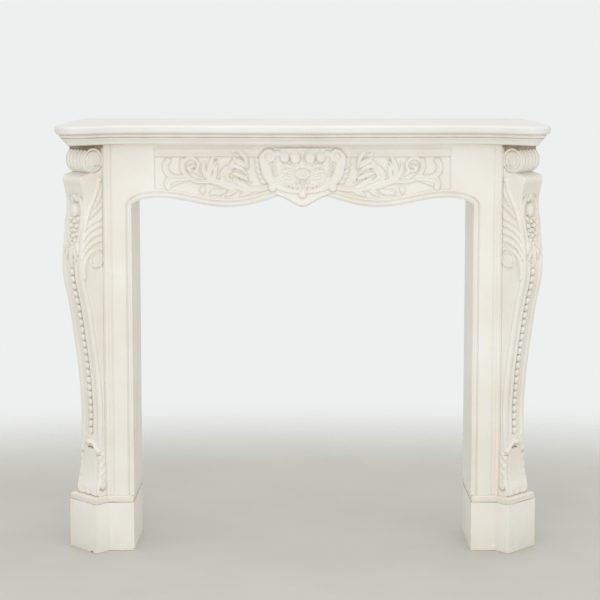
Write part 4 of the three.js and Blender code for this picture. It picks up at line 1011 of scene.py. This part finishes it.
def console_body(s):
    """Cheeks, rounded arrises and front as one grid of (across, outward, up), with its glaze and painted shade."""
    foot, top = s["plinth_top"], s["height"] - BODY_DROP
    z = np.concatenate([np.arange(foot, 330, 1.6), np.arange(330, 770, 2.6), np.arange(770, top, 1.6), [top]])
    half = s["foot_half"] + (s["console_half"] - s["foot_half"]) * smooth(z, foot + 20, foot + 150)
    prof = console_profile(z)
    inner, front = half - ARRIS_ROUND, prof - ARRIS_ROUND
    across, outward = np.linspace(0, 1, 30), np.linspace(0, 1, 44)

    u = across * inner[:, None]
    rf = Relief(u, np.repeat(z[:, None], len(across), 1))
    carve_console_front(rf)
    rf.h = blur(mirrored(rf.h))[:, len(across) - 1:]
    n = CONSOLE_BACK + outward * (front - CONSOLE_BACK)[:, None]
    rc = Relief(n, np.repeat(z[:, None], len(outward), 1))
    carve_cheek(rc, front[:, None])
    rc.h = blur(rc.h)
    rc.h = np.where(rc.h > 0, rc.h * (0.35 + 0.65 * smooth(outward, 0.0, 0.06)), rc.h)
    # painted shade on the front under the roll's head, which faces down
    painted_shade_under_roll = (smooth(z, 948, 968) * (1 - smooth(z, 1004, 1013)))[:, None]
    shade_f = recess_of(mirrored(rf.h), 1.7)[:, len(across) - 1:] + 0.8 * painted_shade_under_roll + rf.stain_and_painted_shade
    shade_c = recess_of(rc.h, 1.9) + rc.stain_and_painted_shade

    q = np.linspace(0, HALF_PI, 5)[1:-1]
    lift = ARRIS_ROUND + rc.h[:, -1:] * (1 - np.sin(q)) + rf.h[:, -1:] * np.sin(q)
    under_disc = rc.oval(ROLL_N, s["height"] - ROLL_DROP, 33.6, 33.6) < 1
    U = np.hstack([np.where(under_disc, 30, half[:, None] + rc.h), inner[:, None] + lift * np.cos(q), u[:, ::-1]])
    N = np.hstack([n, front[:, None] + lift * np.sin(q), (prof[:, None] + rf.h)[:, ::-1]])
    R = np.hstack([shade_c, np.repeat(shade_f[:, -1:], len(q), 1), shade_f[:, ::-1]])
    U, N, R = (np.hstack([g, sign * g[:, -2::-1]]) for g, sign in ((U, -1), (N, 1), (R, 1)))
    return np.stack([U, np.clip(N, CONSOLE_BACK, None), np.repeat(z[:, None], U.shape[1], 1)], -1), R


def turned(s, across, radius):
    """Surface turned round the roll's axis."""
    a = np.linspace(0, 2 * math.pi, 72, endpoint=False)
    radius = radius[:, None]
    return np.stack([np.repeat(across[:, None], len(a), 1), ROLL_N + radius * np.sin(a),
                     s["height"] - ROLL_DROP + radius * np.cos(a)], -1)


def console_roll(s):
    """Reeded roll and the ring and sunk disc on its end, each with its glaze; on the reeds it spreads up the flanks as
    painted shade.
    """
    end, rim, radius = s["console_half"] - 1.5, 3.5, s["roll_radius"]
    u = np.linspace(-end, end, 76)
    phase = (u + end - rim) / (2 * (end - rim) / REEDS) % 1
    crown = np.sqrt(np.clip(1 - (2 * phase - 1) ** 2, 0, 1))
    past = (np.abs(u) - end + rim) / rim
    r = np.where(past < 0, radius - 4.4 + 4.9 * crown, radius - 0.6 - 2.6 * past**2)
    rings = np.array([(r[-1], 0, 0.1), (30.5, 0.9, 0), (29, 0.9, 0), (27.5, 0.2, 0.3), (26, -1.8, 0.7),
                      (24.5, -2.2, 0.6),
                      (23, -0.8, 0.2), (21.5, 0.9, 0), (20.5, 1.3, 0), (19, 0.4, 0.2), (17, -0.4, 0.3), (14, 0.2, 0.1),
                      (10, 0.9, 0), (6, 1.4, 0), (3, 1.6, 0), (0.4, 1.7, 0)])
    disc = turned(s, end + rings[:, 1], rings[:, 0])
    # reed grooves glazed, the glaze spread up each reed's flanks as painted shade
    return turned(s, u, r), np.where(past < 0, 1.7 * (1 - crown), 0.2), disc, rings[:, 2]


def console_block(s):
    """Plain block over the roll, left unpainted where the roll hides it, each face with its glaze; darker towards the
    top, partly painted shade of the gap under the shelf.
    """
    top = under_bed(s)
    u, z = np.linspace(-BLOCK_HALF, BLOCK_HALF, 38), np.linspace(s["height"] - ROLL_DROP, top, 18)
    n = np.linspace(BLOCK_N, CONSOLE_BACK, 14)
    # glaze and bare wood, darkest under the bed moulding: partly painted shade of the gap
    stain_and_painted_shade = 1.4 + 1.5 * smooth(z, 1082, 1090)
    yield [[(a, BLOCK_N, h) for a in u] for h in z], stain_and_painted_shade
    yield [[(BLOCK_HALF, m, h) for m in n] for h in z], stain_and_painted_shade
    yield [[(-BLOCK_HALF, m, h) for m in n[::-1]] for h in z], stain_and_painted_shade
    yield [[(a, m, top) for a in u] for m in np.linspace(BLOCK_N, CONSOLE_BACK, 6)], 2.6


def console_beads(s):
    """String of beads down the channel, each leaning with the profile."""
    pitch = (BEADS_TO - BEADS_FROM) / BEADS
    down = np.linspace(0, math.pi, 9)[:, None]
    a = np.linspace(0, 2 * math.pi, 16, endpoint=False)
    u, n, h = (s["bead_radius"] * np.sin(down) * np.cos(a), s["bead_radius"] * np.sin(down) * np.sin(a),
               np.repeat(pitch / 2 * np.cos(down), len(a), 1))
    for i in range(BEADS):
        z = BEADS_FROM + pitch * (i + 0.5)
        lean = (console_profile(z + 4) - console_profile(z - 4)) / 8
        yield np.stack([u, console_profile(z) - 3 + n + lean * h, z + h], -1), 1.9 * np.cos(down[:, 0]) ** 4


class MANTEL_OT_consoles(bpy.types.Operator):
    """Scrolled consoles: reeded roll, floral drop, bead string and foot leaf."""

    bl_idname = "mantel.consoles"
    bl_label = "Consoles"

    def execute(self, context):
        s = sizes()
        body, shade = console_body(s)
        roll, roll_shade, disc, disc_shade = console_roll(s)
        lid = np.stack([body[-1], body[-1]])
        lid[1, :, 1] = np.minimum(lid[1, :, 1], -40)
        sole = np.stack([body[0] * [1, 0, 1] + [0, CONSOLE_BACK, 0], body[0]])

        for side, tag in ((1, "right"), (-1, "left")):
            sheets = Sheets()
            turn = side > 0

            def place(p, recess_and_painted_shade=0.0, **more):
                u, n, h = np.moveaxis(np.asarray(p, float), -1, 0)
                corner = np.stack([side * (CORNER_X + (u + n) * DIAG), face_y(s) + (u - n) * DIAG, h], -1)
                sheets.add(corner, recess_and_painted_shade, **more)

            place(body, shade, flip=not turn)
            place(roll, roll_shade, wrap=True, flip=turn)
            place(disc, disc_shade, wrap=True, flip=turn)
            place(disc * [-1, 1, 1], disc_shade, wrap=True, flip=not turn)
            for wall, tone in console_block(s):
                place(wall, tone, flip=turn)
            for bead, tone in console_beads(s):
                place(bead, tone, wrap=True, flip=turn)
            place(lid, flip=not turn)
            place(np.stack([body[:, 0], body[:, -1]], 1), flip=turn)
            place(sole, flip=not turn)
            shown(sheets.build(f"console_carved_{tag}", material("paint_carved")), f"console_{tag}")
        return {"FINISHED"}


# Stage


LENS, LENS_SHIFT = 115.6, -0.147
CAMERA_AT, CAMERA_DIP = (-0.007, -5.1355, 1.516), 6.62
LAMPS = (  # name, place, aim, size, power, tint
    ("key", (-0.9, -4.7, 1.5), (0, 0, 0.7), 2.4, 44, (1, 0.99, 0.98)),
    ("fill", (2.6, -3.6, 1.0), (0, 0, 0.6), 2.6, 13, (1, 0.99, 0.97)),
    ("top", (0, -0.8, 3.8), (0, 0, 0.6), 2.4, 19, (1, 0.995, 0.985)),
)
WORLD_TONE = (0.855, 0.87, 0.865, 1)
FLOOR_REACH = 9


class MANTEL_OT_stage(bpy.types.Operator):
    """Pale floor, soft studio light and the camera."""

    bl_idname = "mantel.stage"
    bl_label = "Stage"

    def execute(self, context):
        scene = context.scene
        mesh = bpy.data.meshes.new("floor")
        corners = [(x * FLOOR_REACH, y * FLOOR_REACH, 0) for x, y in ((-1, -1), (1, -1), (1, 1), (-1, 1))]
        mesh.from_pydata(corners, [], [(0, 1, 2, 3)])
        floor = bpy.data.objects.new("floor", mesh)
        scene.collection.objects.link(floor)
        n = Nodes("floor")
        place = n.add("TexCoord").outputs["Object"]
        tone = tuple(scene.mantel_finish.floor)
        cloud = n.noise(place, 3.0, 4.0)
        colour = n.mix(n.ramp(cloud, 0.3, 0.75), tone, tuple(c * 0.94 for c in tone))
        shader = n.add("BsdfPrincipled", Base_Color=colour, Roughness=0.6)
        clear = n.add("BsdfTransparent")
        reach = n.add("VectorMath", operation="LENGTH", i0=n.stretched(place, 0.5, 0.9, 1)).outputs["Value"]
        fade = n.add("MixShader", Fac=n.ramp(reach, 0.75, 1.7))
        n.tree.links.new(shader.outputs[0], fade.inputs[1])
        n.tree.links.new(clear.outputs[0], fade.inputs[2])
        out = n.add("OutputMaterial")
        n.tree.links.new(fade.outputs[0], out.inputs[0])
        mesh.materials.append(n.mat)

        world = bpy.data.worlds.new("studio")
        scene.world = world
        world.use_nodes = True
        back = world.node_tree.nodes["Background"]
        back.inputs[0].default_value = WORLD_TONE
        back.inputs[1].default_value = 1.0
        scene.view_settings.view_transform = "Standard"
        for name, at, aim, size, power, tint in LAMPS:
            data = bpy.data.lights.new(name, "AREA")
            data.shape = "DISK"
            data.size = size
            data.energy = power
            data.color = tint
            lamp = bpy.data.objects.new(name, data)
            scene.collection.objects.link(lamp)
            lamp.location = at
            lamp.rotation_euler = (Vector(aim) - Vector(at)).to_track_quat("-Z", "Y").to_euler()

        lens = bpy.data.cameras.new("camera")
        lens.lens = LENS
        lens.sensor_width = 36
        lens.shift_y = LENS_SHIFT
        camera = bpy.data.objects.new("camera", lens)
        scene.collection.objects.link(camera)
        camera.location = CAMERA_AT
        camera.rotation_euler = (math.radians(90 - CAMERA_DIP), 0, 0)
        scene.camera = camera
        return {"FINISHED"}


class MANTEL_PT_panel(bpy.types.Panel):
    """Sizes, finish and the pieces in building order."""

    bl_idname = "MANTEL_PT_panel"
    bl_label = "Carved Mantel"
    bl_space_type = "VIEW_3D"
    bl_region_type = "UI"
    bl_category = "Mantel"

    def draw(self, context):
        for group in (context.scene.mantel_sizes, context.scene.mantel_finish):
            box = self.layout.box()
            for name in type(group).__annotations__:
                box.prop(group, name)
        for op in OPERATORS:
            self.layout.operator(op.bl_idname)


OPERATORS = (MANTEL_OT_boards, MANTEL_OT_jambs, MANTEL_OT_frieze, MANTEL_OT_consoles, MANTEL_OT_shelf, MANTEL_OT_stage)
CLASSES = (MantelSizes, MantelFinish, *OPERATORS, MANTEL_PT_panel)


def register():
    for cls in CLASSES:
        bpy.utils.register_class(cls)
    bpy.types.Scene.mantel_sizes = bpy.props.PointerProperty(type=MantelSizes)
    bpy.types.Scene.mantel_finish = bpy.props.PointerProperty(type=MantelFinish)


def unregister():
    del bpy.types.Scene.mantel_finish
    del bpy.types.Scene.mantel_sizes
    for cls in reversed(CLASSES):
        bpy.utils.unregister_class(cls)


def main():
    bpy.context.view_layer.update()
    register()
    bpy.ops.mantel.boards()
    bpy.ops.mantel.jambs()
    bpy.ops.mantel.frieze()
    bpy.ops.mantel.consoles()
    bpy.ops.mantel.shelf()
    bpy.ops.mantel.stage()


if __name__ == "__main__":
    main()
